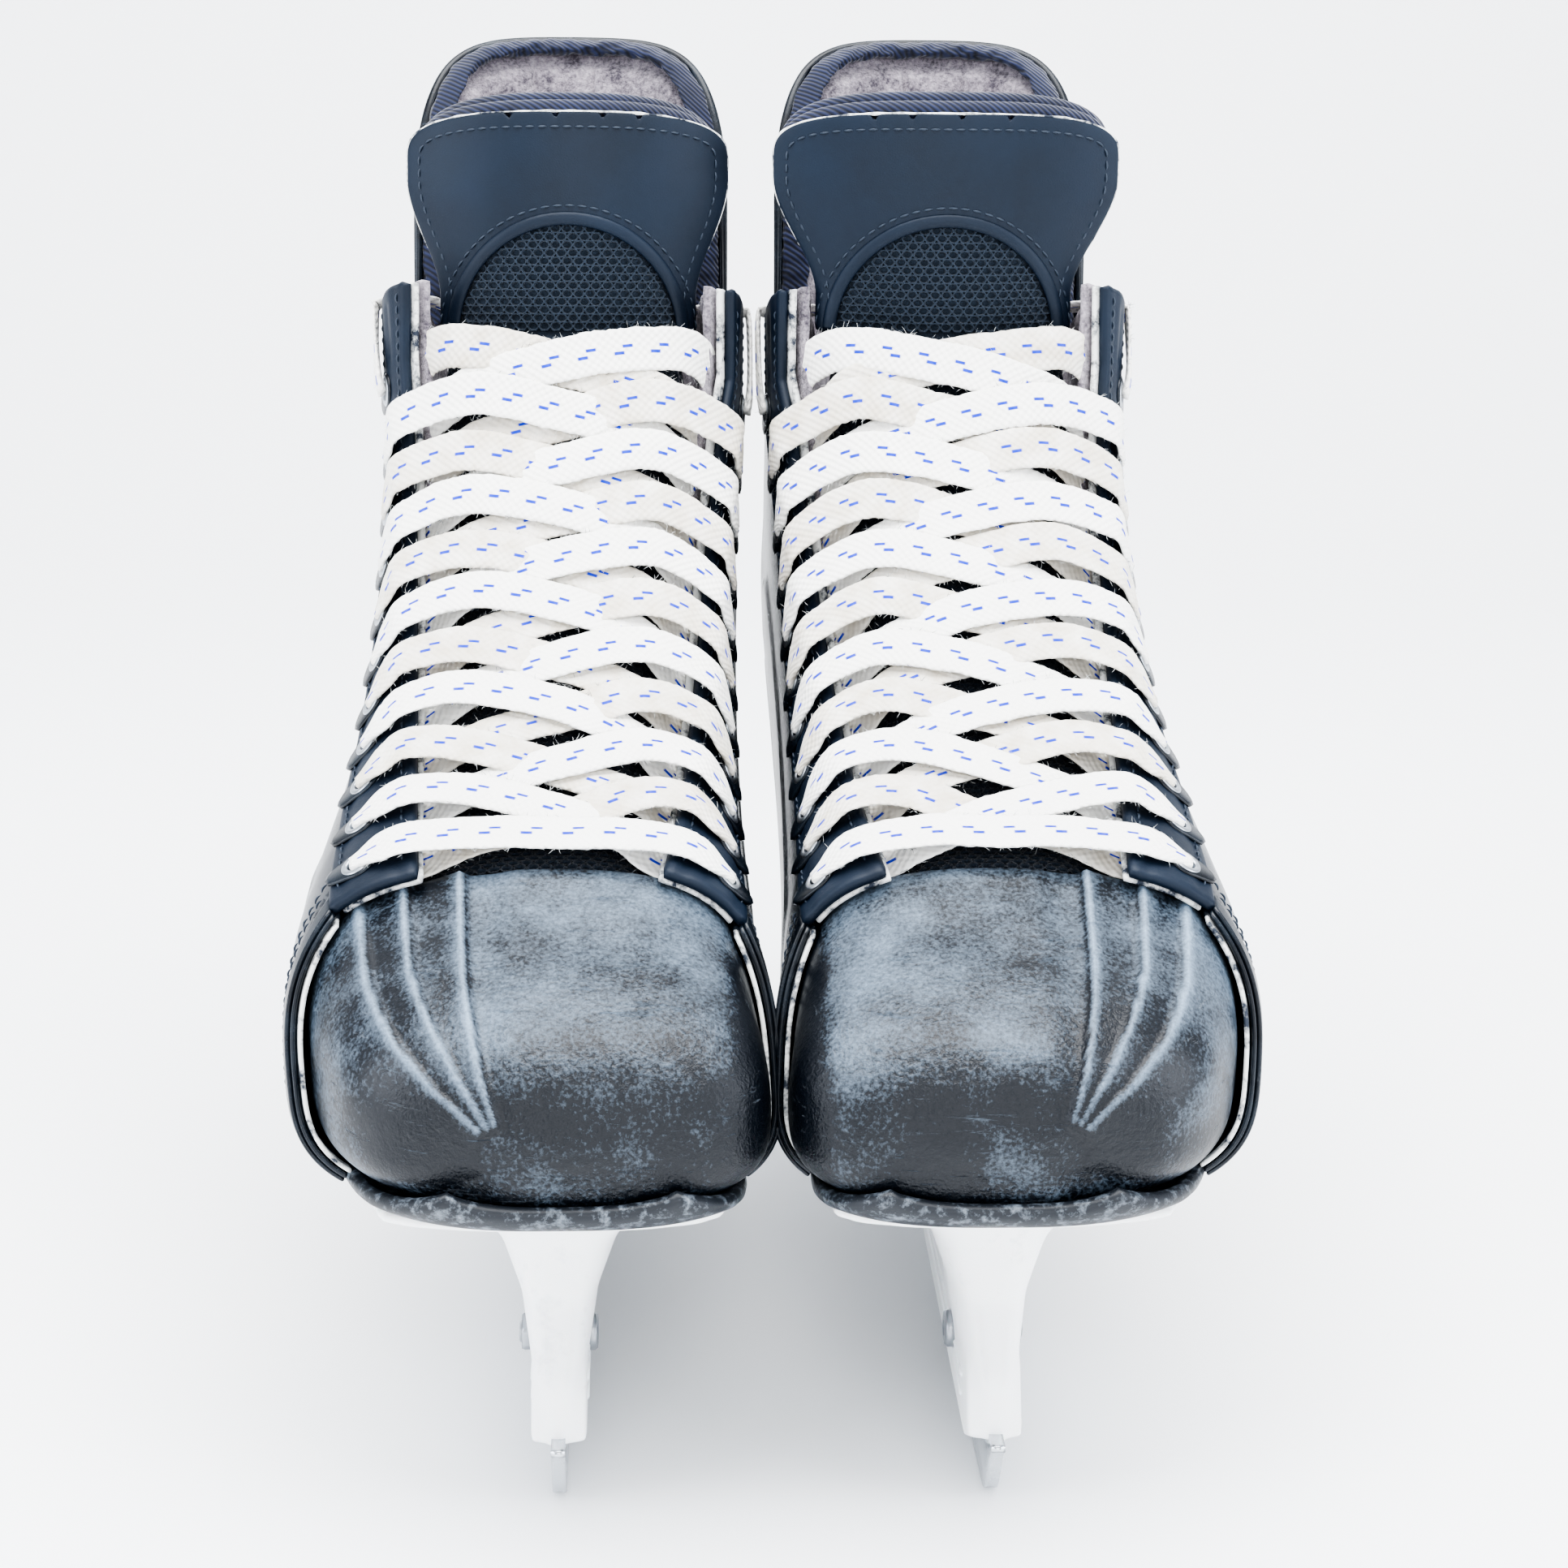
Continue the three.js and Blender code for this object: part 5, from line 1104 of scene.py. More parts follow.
# Navy twill: fine diagonal ribs, drawn at 0.9 mm so that they show, with a cotton sheen.
twill, tree, shader = finish("navy_twill", 0x232F52, 0.8, Sheen_Weight=0.3)
spots = add(tree, "TexCoord").outputs["Object"]
ribs = add(tree, "TexWave", {"Vector": spots, "Scale": 1 / (3.0 * MM), "Distortion": 0.6, "Detail": 1.5},
           bands_direction="DIAGONAL")
faded = add(tree, "TexNoise", {"Vector": spots, "Scale": 1 / (9 * MM), "Detail": 4})
share = add(tree, "Math", {0: ribs.outputs["Fac"], 1: faded.outputs[0]}, operation="MULTIPLY")
tint = add(tree, "Mix", {0: share.outputs[0], 6: linear(0x070C1C), 7: linear(0x2A3660)}, data_type="RGBA")
tree.links.new(tint.outputs[2], shader.inputs["Base Color"])
bump = add(tree, "Bump", {"Height": ribs.outputs["Fac"], "Distance": 0.25 * MM, "Strength": 0.7})
tree.links.new(bump.outputs[0], shader.inputs["Normal"])

TONGUE_OUT = -3.6
TONGUE_SINK = 2.6
TONGUE_HINGE = 11.3
TONGUE_TOP_Z = 288
HINGE_SLOT = 1.2
FLAP_LEAN = math.radians(9)
FLAP_CORNER = 17
FLAP_LOW_HALF = 33.5
CURLS = {"right": (41.5, 15), "left": (44.5, 10)}  # each flap's half width and how far its sides curve back
REST_LEAN = {"right": 0.0, "left": math.radians(7)}
WINDOW_R = 27


def tongue_wing(s):
    """How far the tongue reaches past the eyestays' edges."""
    return mix(6, -5, ease(s, LAST_EYELET - 1.5, LAST_EYELET))


def tongue_point(s, across, depth):
    """The tongue under the laces: across runs from -1 to 1, and depth is measured in from its face."""
    s, across, depth = np.broadcast_arrays(np.asarray(s, float), across, depth)
    turns, sinks = np.empty(s.shape), np.empty(s.shape)
    for at in np.ndindex(s.shape):
        here, side = round(float(s[at]), 4), -1 if across[at] < 0 else 1
        edge = float(facing_edge(here, side))
        x = abs(float(across[at])) * (edge + tongue_wing(here))
        turns[at] = facing_turn(here, side, round(x - edge, 2))
        sinks[at] = TONGUE_SINK * min(x / edge, 1) ** 2.4
    rise = 1.8 * (1 - ease(s, 4.95, 5.35))
    return layer(s, turns, TONGUE_OUT - sinks + rise - depth)


hinge = tongue_point(TONGUE_HINGE, 0.0, 0.0)
FLAP_HEIGHT = (TONGUE_TOP_Z - hinge[2]) / math.cos(FLAP_LEAN)


def flap_half(foot, q):
    return mix(FLAP_LOW_HALF, CURLS[foot][0], ease(q / FLAP_HEIGHT, 0.15, 0.65))


def flap_point(foot, p, q, depth):
    """The flap at p millimetres from its middle and q up it, depth in from its face, at its rest lean."""
    p, q, depth = np.broadcast_arrays(np.asarray(p, float), q, depth)
    sweep_back = CURLS[foot][1]
    half = flap_half(foot, q)
    across = p / half
    slope = np.arctan2(2 * sweep_back * across, half)
    back = sweep_back * across**2 + depth * np.cos(slope)
    x = p - depth * np.sin(slope)
    y = q * math.sin(FLAP_LEAN) + back * math.cos(FLAP_LEAN)
    z = q * math.cos(FLAP_LEAN) - back * math.sin(FLAP_LEAN)
    lean = REST_LEAN[foot]
    return np.stack([x, hinge[1] + y * math.cos(lean) - z * math.sin(lean),
                     hinge[2] + y * math.sin(lean) + z * math.cos(lean)], -1)


def flap_outline(foot, margin, top_margin, count, foot_q=HINGE_SLOT):
    """The flap's outline as (p, q), from the bottom of one side over its top to the bottom of the other."""
    half_top = CURLS[foot][0]
    side_q = np.linspace(foot_q, FLAP_HEIGHT - FLAP_CORNER, 60)
    half = flap_half(foot, side_q) - margin
    a = np.linspace(0, math.pi, 160)
    top_half = half_top - margin
    p = -top_half * np.sign(np.cos(a)) * np.abs(np.cos(a)) ** 0.62
    rise = np.abs(np.sin(a)) ** 0.62
    q = FLAP_HEIGHT - FLAP_CORNER + (FLAP_CORNER - top_margin) * rise
    over_top = np.stack([p, q], 1)[1:-1]
    line = np.concatenate([np.stack([-half, side_q], 1), over_top, np.stack([half, side_q], 1)[::-1]])
    run = run_of(line)
    even = np.linspace(0, run[-1], count)
    return np.stack([np.interp(even, run, line[:, k]) for k in range(2)], 1)


def arch_line(radius, count, foot_q=HINGE_SLOT):
    low = math.asin(foot_q / radius)
    a = np.linspace(math.pi - low, low, count)
    return np.stack([radius * np.cos(a), radius * np.sin(a)], 1)


HOLE_SHARE = 0.34  # a hole's half width as a share of the cells' pitch
HOLE_LIP = 0.07


def knit(cells, to_surface, drop=0.0):
    """Spacer mesh: hexagonal cells at the given (p, q) places and pitch, each with an oval hole."""
    points, faces = [], []
    for p, q, pitch in cells:
        first = len(points)
        for k in range(12):
            turn = math.radians(30 * k)
            way = turn + math.pi / 6
            edge_share = 0.868 / math.sqrt(3) / math.cos((turn + math.pi / 6) % (math.pi / 3) - math.pi / 6)
            for share, flat, depth in ((edge_share, 0.8, 0.0), (HOLE_SHARE + HOLE_LIP, 0.78, -0.12),
                                       (HOLE_SHARE, 0.78, 0.75)):
                reach = pitch * share
                points.append((p + reach * math.cos(way), q + reach * flat * math.sin(way), depth))
        for k in range(12):
            n = (k + 1) % 12
            for ring in (0, 1):
                faces.append((first + 3 * k + ring, first + 3 * n + ring, first + 3 * n + ring + 1,
                              first + 3 * k + ring + 1))
    points = np.array(points)
    return to_surface(points[:, 0], points[:, 1], points[:, 2] + drop), faces


FLAP = {foot: f"{foot}_tongue_flap" for foot in FEET}
NOTCHES = (0.42, 0.485, 0.55, 0.6)
for foot in FEET:
    body = FLAP[foot]
    outline, arch = flap_outline(foot, 1.2, 5.4, 260), arch_line(WINDOW_R + 2.0, 260)
    run = run_of(outline) / run_of(outline)[-1]
    nick = sum(np.exp(-(((run - at) / 0.004) ** 2)) for at in NOTCHES) * 1.6
    outline = outline - np.array([0, 1.0]) * nick[:, None]
    share = np.linspace(0, 1, 40)[None, :, None]
    grid = outline[:, None] * (1 - share) + arch[:, None] * share
    puff = 0.45 * np.sin(np.pi * share[..., 0]) ** 0.6
    face_out = flap_point(foot, grid[..., 0], grid[..., 1], -puff)
    face_in = flap_point(foot, grid[..., 0], grid[..., 1], 0.9)
    points, faces, _ = closed(face_out, face_in)
    make(foot, "tongue_leathercloth", points, faces, leathercloth, "synthetic_leather", body,
         ["tongue_flap_face"])
    # Its pale foam-backed edge stands a hair proud of the top and the upper sides.
    trim = flap_outline(foot, 1.0, 5.0, 220, 22)
    run = run_of(trim) / run_of(trim)[-1]
    rings = []
    for a in circle(8):
        swell = 0.42 + 0.25 * np.clip(pebbles(np.stack([run * 160, run * 0, run * 40], 1), 3.0), -1, 1)
        grow = 1 + 0.018 * math.cos(a)
        p = trim[:, 0] * (1 + (grow - 1) * swell)
        q = trim[:, 1] + 0.7 * math.cos(a) * swell
        rings.append(flap_point(foot, p, q, 0.55 + 0.55 * math.sin(a)))
    points = np.stack(rings, 1)
    make(foot, "tongue_cut_edge", *tube(list(points)), cut_edge, "synthetic_leather", body)
    for name, line_pq in (("rim", flap_outline(foot, 4.4, 8.8, 400)), ("arch", arch_line(WINDOW_R + 5.2, 300))):
        line = flap_point(foot, line_pq[:, 0], line_pq[:, 1], -0.35)
        lifted = flap_point(foot, line_pq[:, 0], line_pq[:, 1], -1.35)
        stitches(foot, f"tongue_{name}_stitching", line, lifted - line, body, 3.1, 2.3, 0.3,
                 "synthetic_leather")
    # A raised beading runs round the window.
    bead = arch_line(WINDOW_R + 2.0, 160)
    rings = []
    for a in circle(12):
        r = WINDOW_R + 2.0 + 1.7 * math.cos(a)
        rings.append(flap_point(foot, bead[:, 0] * r / (WINDOW_R + 2.0), bead[:, 1] * r / (WINDOW_R + 2.0),
                                -0.2 - 0.75 * math.sin(a)))
    make(foot, "window_beading", *tube(list(np.stack(rings, 1))), leathercloth, "synthetic_leather", body)
    cells = []
    pitch = 2.9
    for row in range(-1, 18):
        for column in range(-14, 15):
            p, q = (column + 0.5 * (row % 2)) * pitch, HINGE_SLOT + 1.2 + row * pitch * 0.6928
            if p * p + q * q < (WINDOW_R + 0.4) ** 2 and q > HINGE_SLOT + 0.8:
                cells.append((p, q, pitch))
    points, faces = knit(cells, lambda p, q, d: flap_point(foot, p, q, d), drop=0.25)
    make(foot, "window_mesh", points, faces, mesh_knit, "mesh_fabric", body, ["tongue_flap_mesh"])
    back_outline = arch_line(WINDOW_R + 1.0, 100)
    share = np.linspace(0.02, 1, 20)[None, :, None]
    grid = back_outline[:, None] * share + np.array([0, HINGE_SLOT])[None, None] * (1 - share)
    points, faces, _ = closed(flap_point(foot, grid[..., 0], grid[..., 1], 1.1),
                              flap_point(foot, grid[..., 0], grid[..., 1], 1.9))
    make(foot, "window_backing", points, faces, mesh_knit, "mesh_fabric", body)
    # Two rolls of twill bind the rim, one behind the other.
    for roll, (margin, top_margin, depth, wide, deep) in enumerate(
        ((3.6, 4.6, 3.3, 2.6, 2.0), (2.6, 2.6, 6.6, 2.6, 2.3)), 1
    ):
        line = flap_outline(foot, margin, top_margin, 240, 6 + 2 * roll)
        along = np.gradient(line, axis=0)
        along /= np.linalg.norm(along, axis=1, keepdims=True)
        out_way = np.stack([-along[:, 1], along[:, 0]], 1)
        rings = []
        for a in circle(18):
            reach = line + out_way * wide * math.cos(a)
            rings.append(flap_point(foot, reach[:, 0], reach[:, 1], depth + deep * math.sin(a)))
        make(foot, f"tongue_binding_{roll}", *tube(list(np.stack(rings, 1))), twill, "binding_twill", body,
             ["tongue_flap_binding"] if roll == 1 else ())
    share = np.linspace(0, 0.985, 36)[None, :, None]
    pad_outline = flap_outline(foot, 5.2, 5.6, 200)
    up_and_down = np.r_[0:200:2, 199:-1:-2]
    spine = np.stack([np.zeros(200), np.linspace(HINGE_SLOT + 1, FLAP_HEIGHT - 20, 200)[up_and_down]], 1)
    grid = pad_outline[:, None] * (1 - share) + spine[:, None] * share
    points, faces, _ = closed(flap_point(foot, grid[..., 0], grid[..., 1], 2.6),
                              flap_point(foot, grid[..., 0], grid[..., 1], 8.6), 4)
    pad = make(foot, "tongue_felt_pad", points, faces, terry, "felt", body, ["tongue_flap_pad"])
    swollen(pad, 2.2, cap=1.0)

    # Under the laces the tongue goes on down to the cap.
    s = np.linspace(4.96, TONGUE_HINGE - 0.1, 90)
    s_grid, across = grid_of(s, np.linspace(-1, 1, 40))
    points, faces, _ = closed(tongue_point(s_grid, across, 1.9), tongue_point(s_grid, across, 8.2), 4)
    pad = make(foot, "lower_tongue_padding", points, faces, terry, "felt", replaced=["tongue_pad"])
    face_run = run_of(tongue_point(np.linspace(5.0, TONGUE_HINGE, 200), 0.0, 0.0))
    cells = []
    for row in range(int(face_run[-1] / (pitch * 0.6928))):
        for column in range(-13, 14):
            p = (column + 0.5 * (row % 2)) * pitch
            q = 1.2 + row * pitch * 0.6928
            if abs(p) < 37:
                cells.append((p, q, pitch))

    def under_laces(p, q, depth):
        s = np.interp(q, face_run, np.linspace(5.0, TONGUE_HINGE, 200))
        half = np.where(p < 0, facing_edge(s, -1), facing_edge(s, 1)) + tongue_wing(s)
        return tongue_point(np.round(s, 2), np.round(np.clip(p / half, -1, 1), 2), depth)

    points, faces = knit(cells, under_laces, drop=0.2)
    make(foot, "lower_tongue_mesh", points, faces, mesh_knit, "mesh_fabric", replaced=["tongue_face"])
    across = across * 0.98
    points, faces, _ = closed(tongue_point(s_grid, across, 1.0), tongue_point(s_grid, across, 1.7))
    make(foot, "lower_tongue_backing", points, faces, mesh_knit, "mesh_fabric")

    # Across the fold, its felt and its mesh bend from the lower tongue to the flap.
    across = np.linspace(-0.97, 0.97, 60)
    for name, depths, material, slot in (("felt", (2.4, 8.3), terry, "felt"),
                                         ("mesh", (1.2, 1.9), mesh_knit, "mesh_fabric")):
        below = [[tongue_point(s, across, depth) for s in np.linspace(10.75, TONGUE_HINGE - 0.02, 14)]
                 for depth in depths]
        above = [[flap_point(foot, across * FLAP_LOW_HALF * 0.96, q, depth) for q in np.linspace(0.4, 13, 20)]
                 for depth in depths]
        outside, inside = (np.array(low + high) for low, high in zip(below, above))
        points, faces, _ = closed(outside, inside, 3)
        fold = make(foot, f"tongue_fold_{name}", points, faces, material, slot, body=None)
        start, end = place(foot, [tongue_point(10.95, 0.0, 4.0), flap_point(foot, 0.0, 9.0, 4.0)])
        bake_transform(fold)

# ---------------------------------------------------------------- tendon guards
# A stiff film-faced tab rises behind the ankle, padded inside with terry in three panels and bound round its edge.
GUARD_TOP_Z = 296
GUARD_HALF = 42.5
GUARD_DEPTH = 33
GUARD_WRAP = math.radians(78)
GUARD_FOOT_Y = 128.2
COLLAR_SLOPE = (LAST[-1][3] - LAST[-1][1]) / (LAST[-1][0] - LAST[-1][2])


def guard_point(u, across, inward):
    turn = across * GUARD_WRAP
    y = GUARD_FOOT_Y - GUARD_DEPTH + (GUARD_DEPTH - inward) * np.cos(turn)
    low = LAST[-1][1] + (GUARD_FOOT_Y - y) * COLLAR_SLOPE + 0.9
    top = GUARD_TOP_Z - 1.5 - 30 * np.abs(across) ** 4
    return np.stack([(GUARD_HALF - inward) * np.sin(turn), y + 9 * u * u, mix(low, top, u)], -1)


for foot in FEET:
    body = f"{foot}_tendon_guard_body"
    u, across = grid_of(np.linspace(0, 1, 60), np.linspace(-1, 1, 90))
    flute = 0.5 * np.cos(across * 9) ** 8 * ease(u, 0.05, 0.2) * ease(0.9 - u, 0, 0.1)
    outside = guard_point(u, across, 0.5 * ease(u, 0, 0.02) - flute)
    points, faces, _ = closed(outside, guard_point(u, across, 2.4 + 0 * u))
    make(foot, "guard_shell", points, faces, film, "quarter_laminate", body, ["tendon_guard"])
    from_edge = np.minimum((1 - np.abs(across)) * 57, (1 - u) * 90)
    u, across = u * 0.972, across * 0.96
    seams = sum(np.exp(-(((across - at) / 0.014) ** 2)) for at in (-0.2, 0.12)) * 1.5
    crown = np.sin(np.pi * np.clip(u, 0, 1)) ** 0.5 * (1 - np.abs(across) ** 6)
    rough_pile = 0.3 * pebbles(guard_point(u, across, 9.0), 3)
    deep = mix(4.4, 6.9 + 1.3 * crown - seams + rough_pile, ease(from_edge, 2.0, 6.5))
    inside = guard_point(u, across, deep)
    points, faces, _ = closed(guard_point(u, across, 2.7 + 0 * u), inside, 5)
    pad = make(foot, "guard_lining", points, faces, terry, "felt", body, ["tendon_guard_pad"])
    # The binding is worn fuzzy along the top.
    way = np.linspace(-2, 2, 520)
    across_line = np.clip(way, -1, 1) * 0.975
    u_line = 0.984 - np.clip(np.abs(way) - 1, 0, 0.9)
    corner = np.exp(-(((np.abs(way) - 1) / 0.03) ** 2)) * 0.012
    across_line, u_line = across_line * (1 - corner), u_line - corner
    upward = 1 - ease(np.abs(way), 0.94, 1.04)
    rings = []
    for a in circle(18):
        swell = 1 + 0.22 * pebbles(np.stack([way * 44, way * 9, np.full_like(way, 5 * math.cos(a))], -1), 2.0)
        rings.append(guard_point(u_line + 0.024 * math.cos(a) * swell * upward,
                                 across_line + 0.04 * math.cos(a) * swell * (1 - upward) * np.sign(way),
                                 5.9 + 3.5 * math.sin(a) * swell))
    make(foot, "guard_binding", *tube(list(np.stack(rings, 1))), twill, "binding_twill", body)

# ---------------------------------------------------------------- laces
# One flat polyester lace about 10 mm wide threads each boot, crossing over each facing edge into the eyelets from
# outside. It is plain woven in off-white with a double blue tracer down its middle, and fuzzy along its edges.

# Woven polyester: off-white with a little dirt, and cream painted shade where it lies under other strands, with a
# weave drawn at 1.1 mm so it shows.
WEAVE = 1.1
TRACER_PITCH = 4.6
woven, tree, shader = finish("woven_polyester_lace", 0xF2F1EC, 0.85, Sheen_Weight=0.2)
flat = add(tree, "UVMap", uv_map="millimetres").outputs[0]
parts = add(tree, "SeparateXYZ", {0: flat})
warp = add(tree, "Math", {0: parts.outputs[0], 1: math.pi / WEAVE}, operation="MULTIPLY")
weft = add(tree, "Math", {0: parts.outputs[1], 1: math.pi / WEAVE}, operation="MULTIPLY")
warp_wave = add(tree, "Math", {0: warp.outputs[0]}, operation="SINE")
weft_wave = add(tree, "Math", {0: weft.outputs[0]}, operation="SINE")
weave = add(tree, "Math", {0: warp_wave.outputs[0], 1: weft_wave.outputs[0]}, operation="MULTIPLY")
beside = add(tree, "Math", {0: parts.outputs[1]}, operation="ABSOLUTE")
off_line = add(tree, "Math", {0: beside.outputs[0], 1: 0.85}, operation="SUBTRACT")
near_line = add(tree, "Math", {0: off_line.outputs[0]}, operation="ABSOLUTE")
on_line = add(tree, "MapRange", {"Value": near_line.outputs[0], "From Min": 0.34, "From Max": 0.5,
                                 "To Min": 1.0, "To Max": 0.0})
side_of = add(tree, "Math", {0: parts.outputs[1]}, operation="SIGN")
shifted = add(tree, "Math", {0: side_of.outputs[0], 1: TRACER_PITCH / 4, 2: parts.outputs[0]},
              operation="MULTIPLY_ADD")
along_it = add(tree, "Math", {0: shifted.outputs[0], 1: TRACER_PITCH}, operation="PINGPONG")
dash = add(tree, "MapRange", {"Value": along_it.outputs[0], "From Min": TRACER_PITCH - 1.5,
                              "From Max": TRACER_PITCH - 1.1})
tracer = add(tree, "Math", {0: on_line.outputs[0], 1: dash.outputs[0]}, operation="MULTIPLY")
# The per-point amount below mixes a little dirt with cream painted shade where a strand lies under others.
soil = add(tree, "Attribute", attribute_name="soil").outputs["Fac"]
spots = add(tree, "TexCoord").outputs["Object"]
mottle = add(tree, "TexNoise", {"Vector": spots, "Scale": 1 / (6 * MM), "Detail": 5})
soiled = add(tree, "Math", {0: soil, 1: mottle.outputs[0]}, operation="MULTIPLY")
cloth_tint = add(tree, "Mix", {0: soiled.outputs[0], 6: linear(0xFAFAF7), 7: linear(0xB8AA90)},
                 data_type="RGBA")
tint = add(tree, "Mix", {0: tracer.outputs[0], 6: cloth_tint.outputs[2], 7: linear(0x1236C4)},
           data_type="RGBA")
tree.links.new(tint.outputs[2], shader.inputs["Base Color"])
bump = add(tree, "Bump", {"Height": weave.outputs[0], "Distance": 0.3 * MM, "Strength": 0.5})
tree.links.new(bump.outputs[0], shader.inputs["Normal"])

LACE_WIDTH = 11.2
LACE_THICKNESS = 1.2
LACE_OVER = 6.3
LACE_UNDER = -1.5
LACE_LOW = 1.1
LACE_HIGH = 2.8
LACE_END = EYELET_BACK + 1.0


def stop(s, turn, out):
    return np.concatenate([layer(s, turn, out), outward(s, turn)])


def by_facing(s, side, back, out):
    return stop(s, facing_turn(round(float(s), 4), side, round(float(back), 3)), out)


def over_tongue(s, share, out):
    side = -1 if share < 0 else 1
    edge = abs(share) * facing_edge(s, side)
    return stop(s, facing_turn(round(float(s), 4), side, round(float(edge - facing_edge(s, side)), 3)), out)


def curve_through(stops, pitch=0.9):
    """A smooth line through stops, with its outward directions, at an even pitch."""
    stops = np.array(stops)
    padded = np.concatenate([2 * stops[:1] - stops[1:2], stops, 2 * stops[-1:] - stops[-2:-1]])
    line = []
    for a, b, c, d in zip(padded, padded[1:], padded[2:], padded[3:]):
        t = np.linspace(0, 1, 12, endpoint=False)[:, None]
        line.append(spline(a, b, c, d, t))
    line = np.concatenate([*line, stops[-1:]])
    run = run_of(line[:, :3])
    even = np.linspace(0, run[-1], max(int(run[-1] / pitch), 4))
    return np.stack([np.interp(even, run, line[:, k]) for k in range(6)], 1), even


fray = np.random.default_rng(7)


def strand(stops, soiling=0.0, ends=(1.0, 1.0), width=LACE_WIDTH, seed=0.0):
    """One stretch of flat lace: (points, faces, uv, dirt and painted shade). ends are its width at each end, as
    shares.
    """
    line, run = curve_through(stops)
    centre, out_way = line[:, :3], line[:, 3:]
    along = np.gradient(centre, axis=0)
    along /= np.linalg.norm(along, axis=1, keepdims=True)
    side_way = np.cross(along, out_way)
    side_way /= np.linalg.norm(side_way, axis=1, keepdims=True)
    out_way = np.cross(side_way, along)
    length = run[-1]
    narrowing = mix(ends[0], 1, ease(run, 0, 9)) * mix(1, ends[1], ease(run, length - 9, length))
    wobble = 0.6 * np.sin(run / 4.3 + seed) + 0.3 * np.sin(run / 1.7 + 2 * seed)
    half = (width / 2 * narrowing)[:, None]
    count = 20
    a = circle(count)
    across = np.sign(np.cos(a)) * np.abs(np.cos(a)) ** 0.8
    thick = np.sign(np.sin(a)) * np.abs(np.sin(a)) ** 0.7
    edge_noise = 1 + 0.018 * fray.standard_normal((len(run), count)) * (np.abs(across) > 0.9)
    sag = 0.35 * np.sin(seed + run / 17)[:, None] * across[None] ** 2
    offset = half * across[None] * edge_noise + 0.25 * wobble[:, None] * (np.abs(across) > 0.6)
    bulk = LACE_THICKNESS / 2 * (1 + 0.9 * (1 - narrowing))[:, None]
    height = bulk * thick[None] + 0.12 * np.cos(across * math.pi * 2.2)[None] + sag
    points = centre[:, None] + side_way[:, None] * offset[..., None] + out_way[:, None] * height[..., None]
    uv = np.stack([np.repeat(run[:, None], count, 1), np.repeat(across[None] * width / 2, len(run), 0)], -1)
    faces = grid_faces(len(run), count, wrap=True)
    faces += [list(range(count)), [(len(run) - 1) * count + k for k in range(count)]]
    dirt_and_shade = soiling * np.ones((len(run), count))
    return points.reshape(-1, 3), faces, uv.reshape(-1, 2), dirt_and_shade.ravel(), (centre, side_way, out_way, half)


def fuzz(strands, count):
    """Loose fibres along the edges of the lace: short three-sided hairs that curl off the weave."""
    points, faces = [], []
    for centre, side_way, out_way, half in strands:
        for _ in range(count):
            k = fray.integers(1, len(centre) - 2)
            side = fray.choice((-1, 1))
            root = centre[k] + side * side_way[k] * (half[k] - 0.15)
            way = side * side_way[k] * fray.uniform(0.3, 1) + out_way[k] * fray.uniform(-0.3, 0.7)
            way = way + (centre[k + 1] - centre[k]) * fray.uniform(-1.2, 1.2)
            way /= np.linalg.norm(way)
            curl = fray.uniform(-0.5, 0.5, 3)
            long, first = fray.uniform(0.7, 1.8), len(points)
            for share, radius in ((0, 0.06), (0.5, 0.05), (1, 0.02)):
                at = root + way * long * share + curl * share * share
                for a in (0, 2.1, 4.2):
                    points.append(at + radius * np.array([math.cos(a), 0.3 * math.sin(a), math.sin(a)]))
            faces += grid_faces(3, 3, wrap=True, first=first)
            faces += [[first, first + 1, first + 2], [first + 6, first + 7, first + 8]]
    return np.array(points), faces


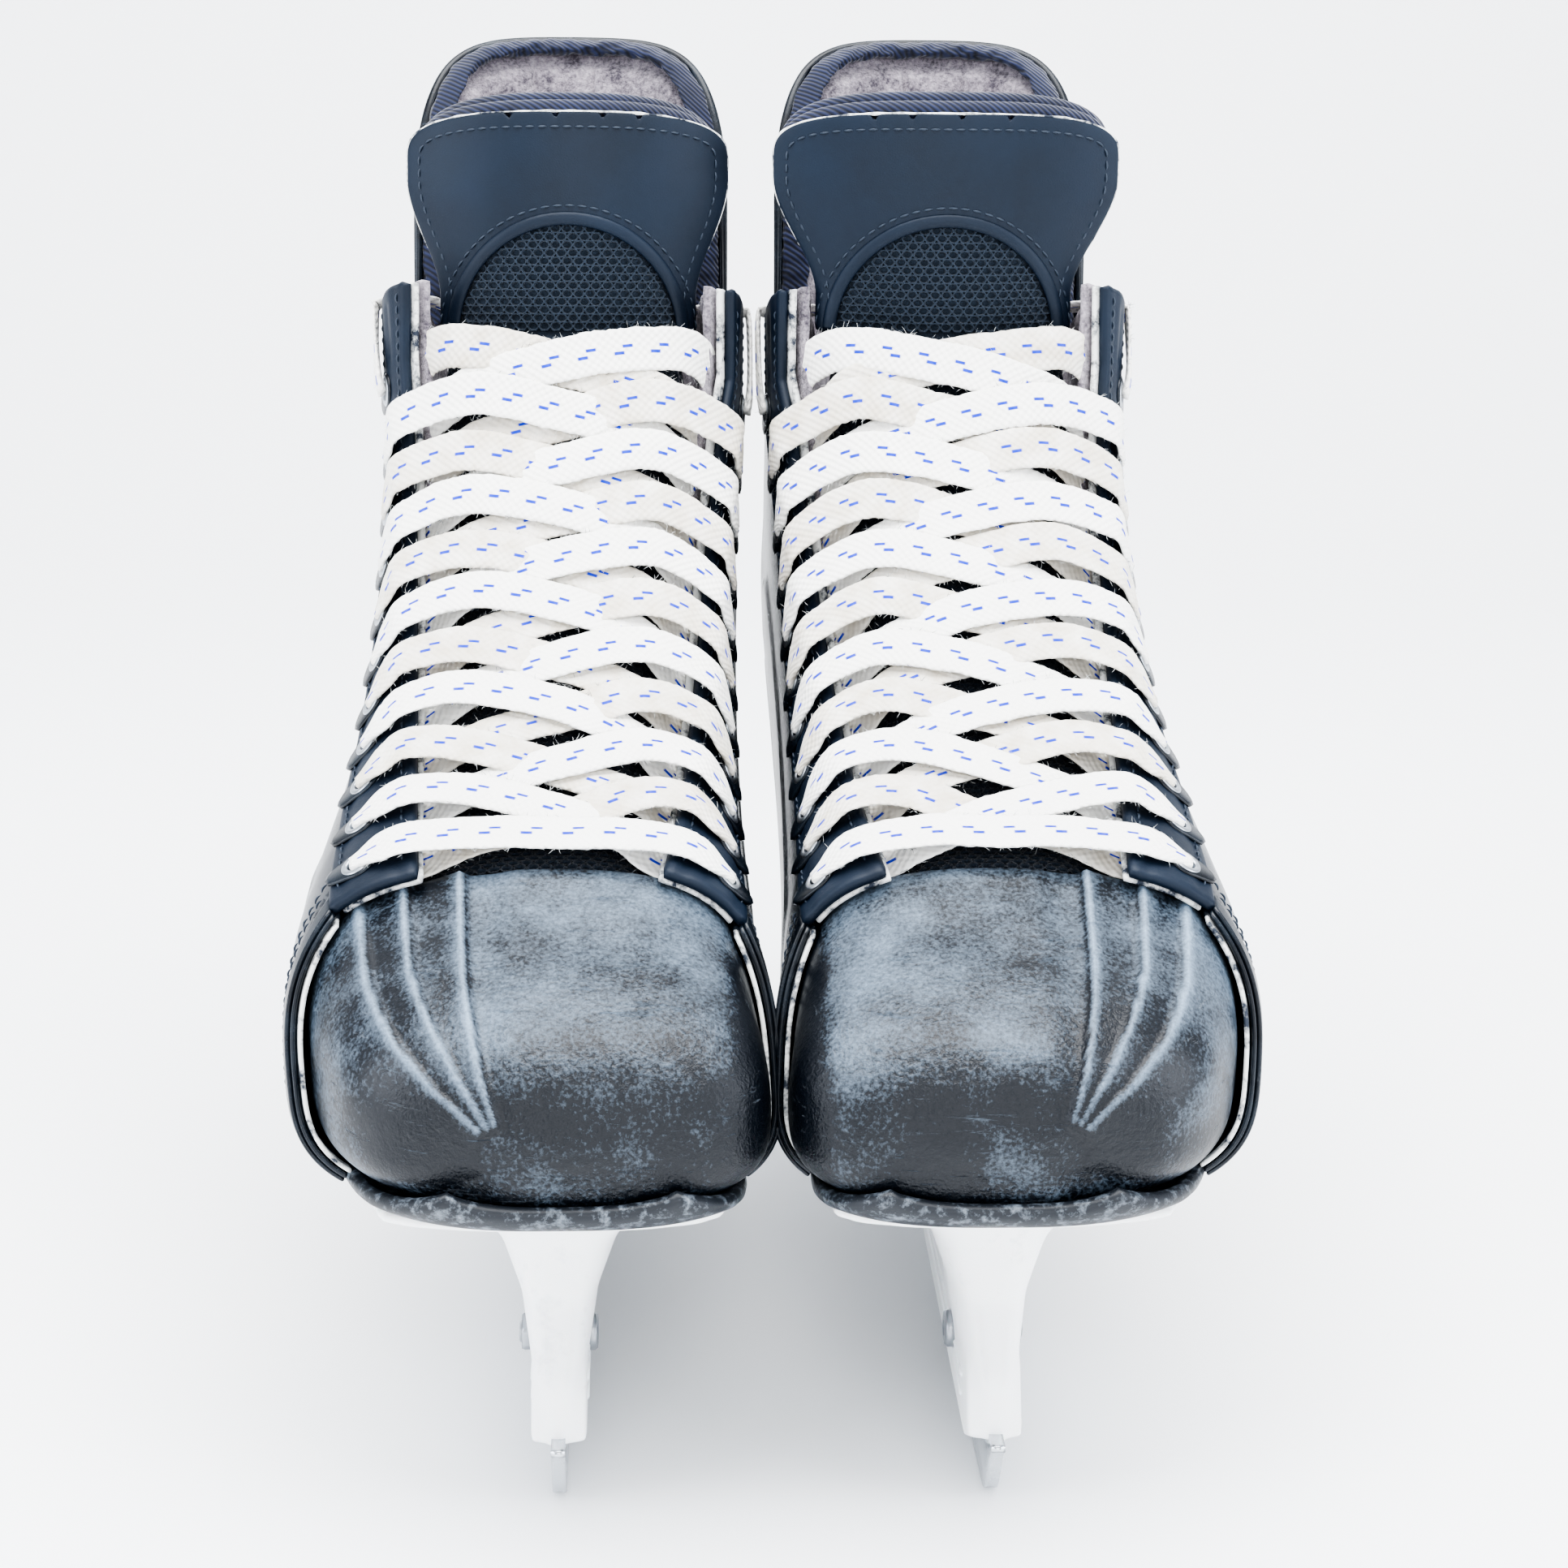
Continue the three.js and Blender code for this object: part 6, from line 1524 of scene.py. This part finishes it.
for foot in FEET:
    rows, seed = [], 1.0 if foot == "right" else 4.0
    first = eyelet_sections[0]
    half_bars = [[by_facing(first, side, LACE_END, LACE_OVER - 0.9), by_facing(first, side, 6, LACE_OVER),
                  by_facing(first, side, 0, LACE_OVER + 0.1), over_tongue(first, side * 0.5, LACE_OVER - 1.0)]
                 for side in (-1, 1)]
    bar = [*half_bars[0], over_tongue(first, 0.0, LACE_OVER - 1.6), *half_bars[1][::-1]]
    rows.append(strand(bar, 0.1, (0.4, 0.4), seed=seed))
    for row in range(EYELETS - 1):
        low, high = eyelet_sections[row], eyelet_sections[row + 1]
        for side in (-1, 1):
            cross = LACE_HIGH if (side > 0) == (row % 2 == 0) else LACE_LOW
            slack = 0.07 * math.sin(3.1 * row + side + seed)
            stops = [by_facing(low, side, LACE_END, LACE_UNDER), by_facing(low, side, 4, LACE_UNDER),
                     by_facing(low, side, -3, LACE_UNDER + 0.7),
                     over_tongue(mix(low, high, 0.15 + slack), side * 0.6, LACE_LOW),
                     over_tongue(mix(low, high, 0.5 + slack), 0.0, cross)]
            if row == EYELETS - 2:
                stops += [over_tongue(mix(low, high, 0.82), -side * 0.6, LACE_LOW),
                          by_facing(high, -side, -3, LACE_UNDER + 0.7),
                          by_facing(high, -side, LACE_END, LACE_UNDER)]
            else:
                stops += [over_tongue(mix(low, high, 0.9 + slack), -side * 0.62, LACE_LOW + 3.0),
                          by_facing(high, -side, -0.5, LACE_OVER + 0.7),
                          by_facing(high, -side, 6, LACE_OVER + 0.1),
                          by_facing(high, -side, LACE_END, LACE_OVER - 0.9)]
            # Strands that cross low, under the others, get cream painted shade on top of the little dirt that every
            # strand carries.
            soiling = 0.15 + 0.75 * (cross == LACE_LOW)
            rows.append(strand(stops, soiling, (0.5, 0.4), seed=seed + row + 0.5 * side))
    # Each end goes up over the collar beside the padding and is tucked into the boot.
    for side in (-1, 1):
        turn = facing_turn(COLLAR, side, 22.0)
        collar_up = np.array([0, COLLAR_SLOPE, 1]) / math.hypot(1, COLLAR_SLOPE)

        def over(out, lift, facing):
            return np.concatenate([layer(COLLAR, turn, out) + collar_up * lift, facing])

        outside_way, inside_way = outward(COLLAR, turn), np.array([-side, 0.0, 0.0])
        stops = [by_facing(LAST_EYELET - 0.08, side, EYELET_BACK - 1, LACE_OVER),
                 by_facing(LAST_EYELET + 0.5, side, EYELET_BACK + 2, LACE_OVER + 0.4),
                 over(LACE_OVER, 0, outside_way), over(LACE_OVER - 1.6, 2.0, outside_way * 0.5 + collar_up),
                 over(-3.0, 2.6, collar_up), over(-9.6, 2.0, collar_up + inside_way * 0.5),
                 over(-11.2, -1, inside_way), over(-11.4, -12, inside_way)]
        rows.append(strand(stops, 0.2, (0.5, 0.9), 8.0, seed + side))
    offsets = np.cumsum([0] + [len(r[0]) for r in rows])
    faces = [[offset + k for k in face] for offset, r in zip(offsets, rows) for face in r[1]]
    make(foot, "woven_lace", np.concatenate([r[0] for r in rows]), faces, woven, "lace_weave",
         replaced=["lace"], uv=np.concatenate([r[2] for r in rows]), soil=np.concatenate([r[3] for r in rows]))
    make(foot, "lace_fuzz", *fuzz([r[4] for r in rows], 110), cut_edge, "lace_weave")
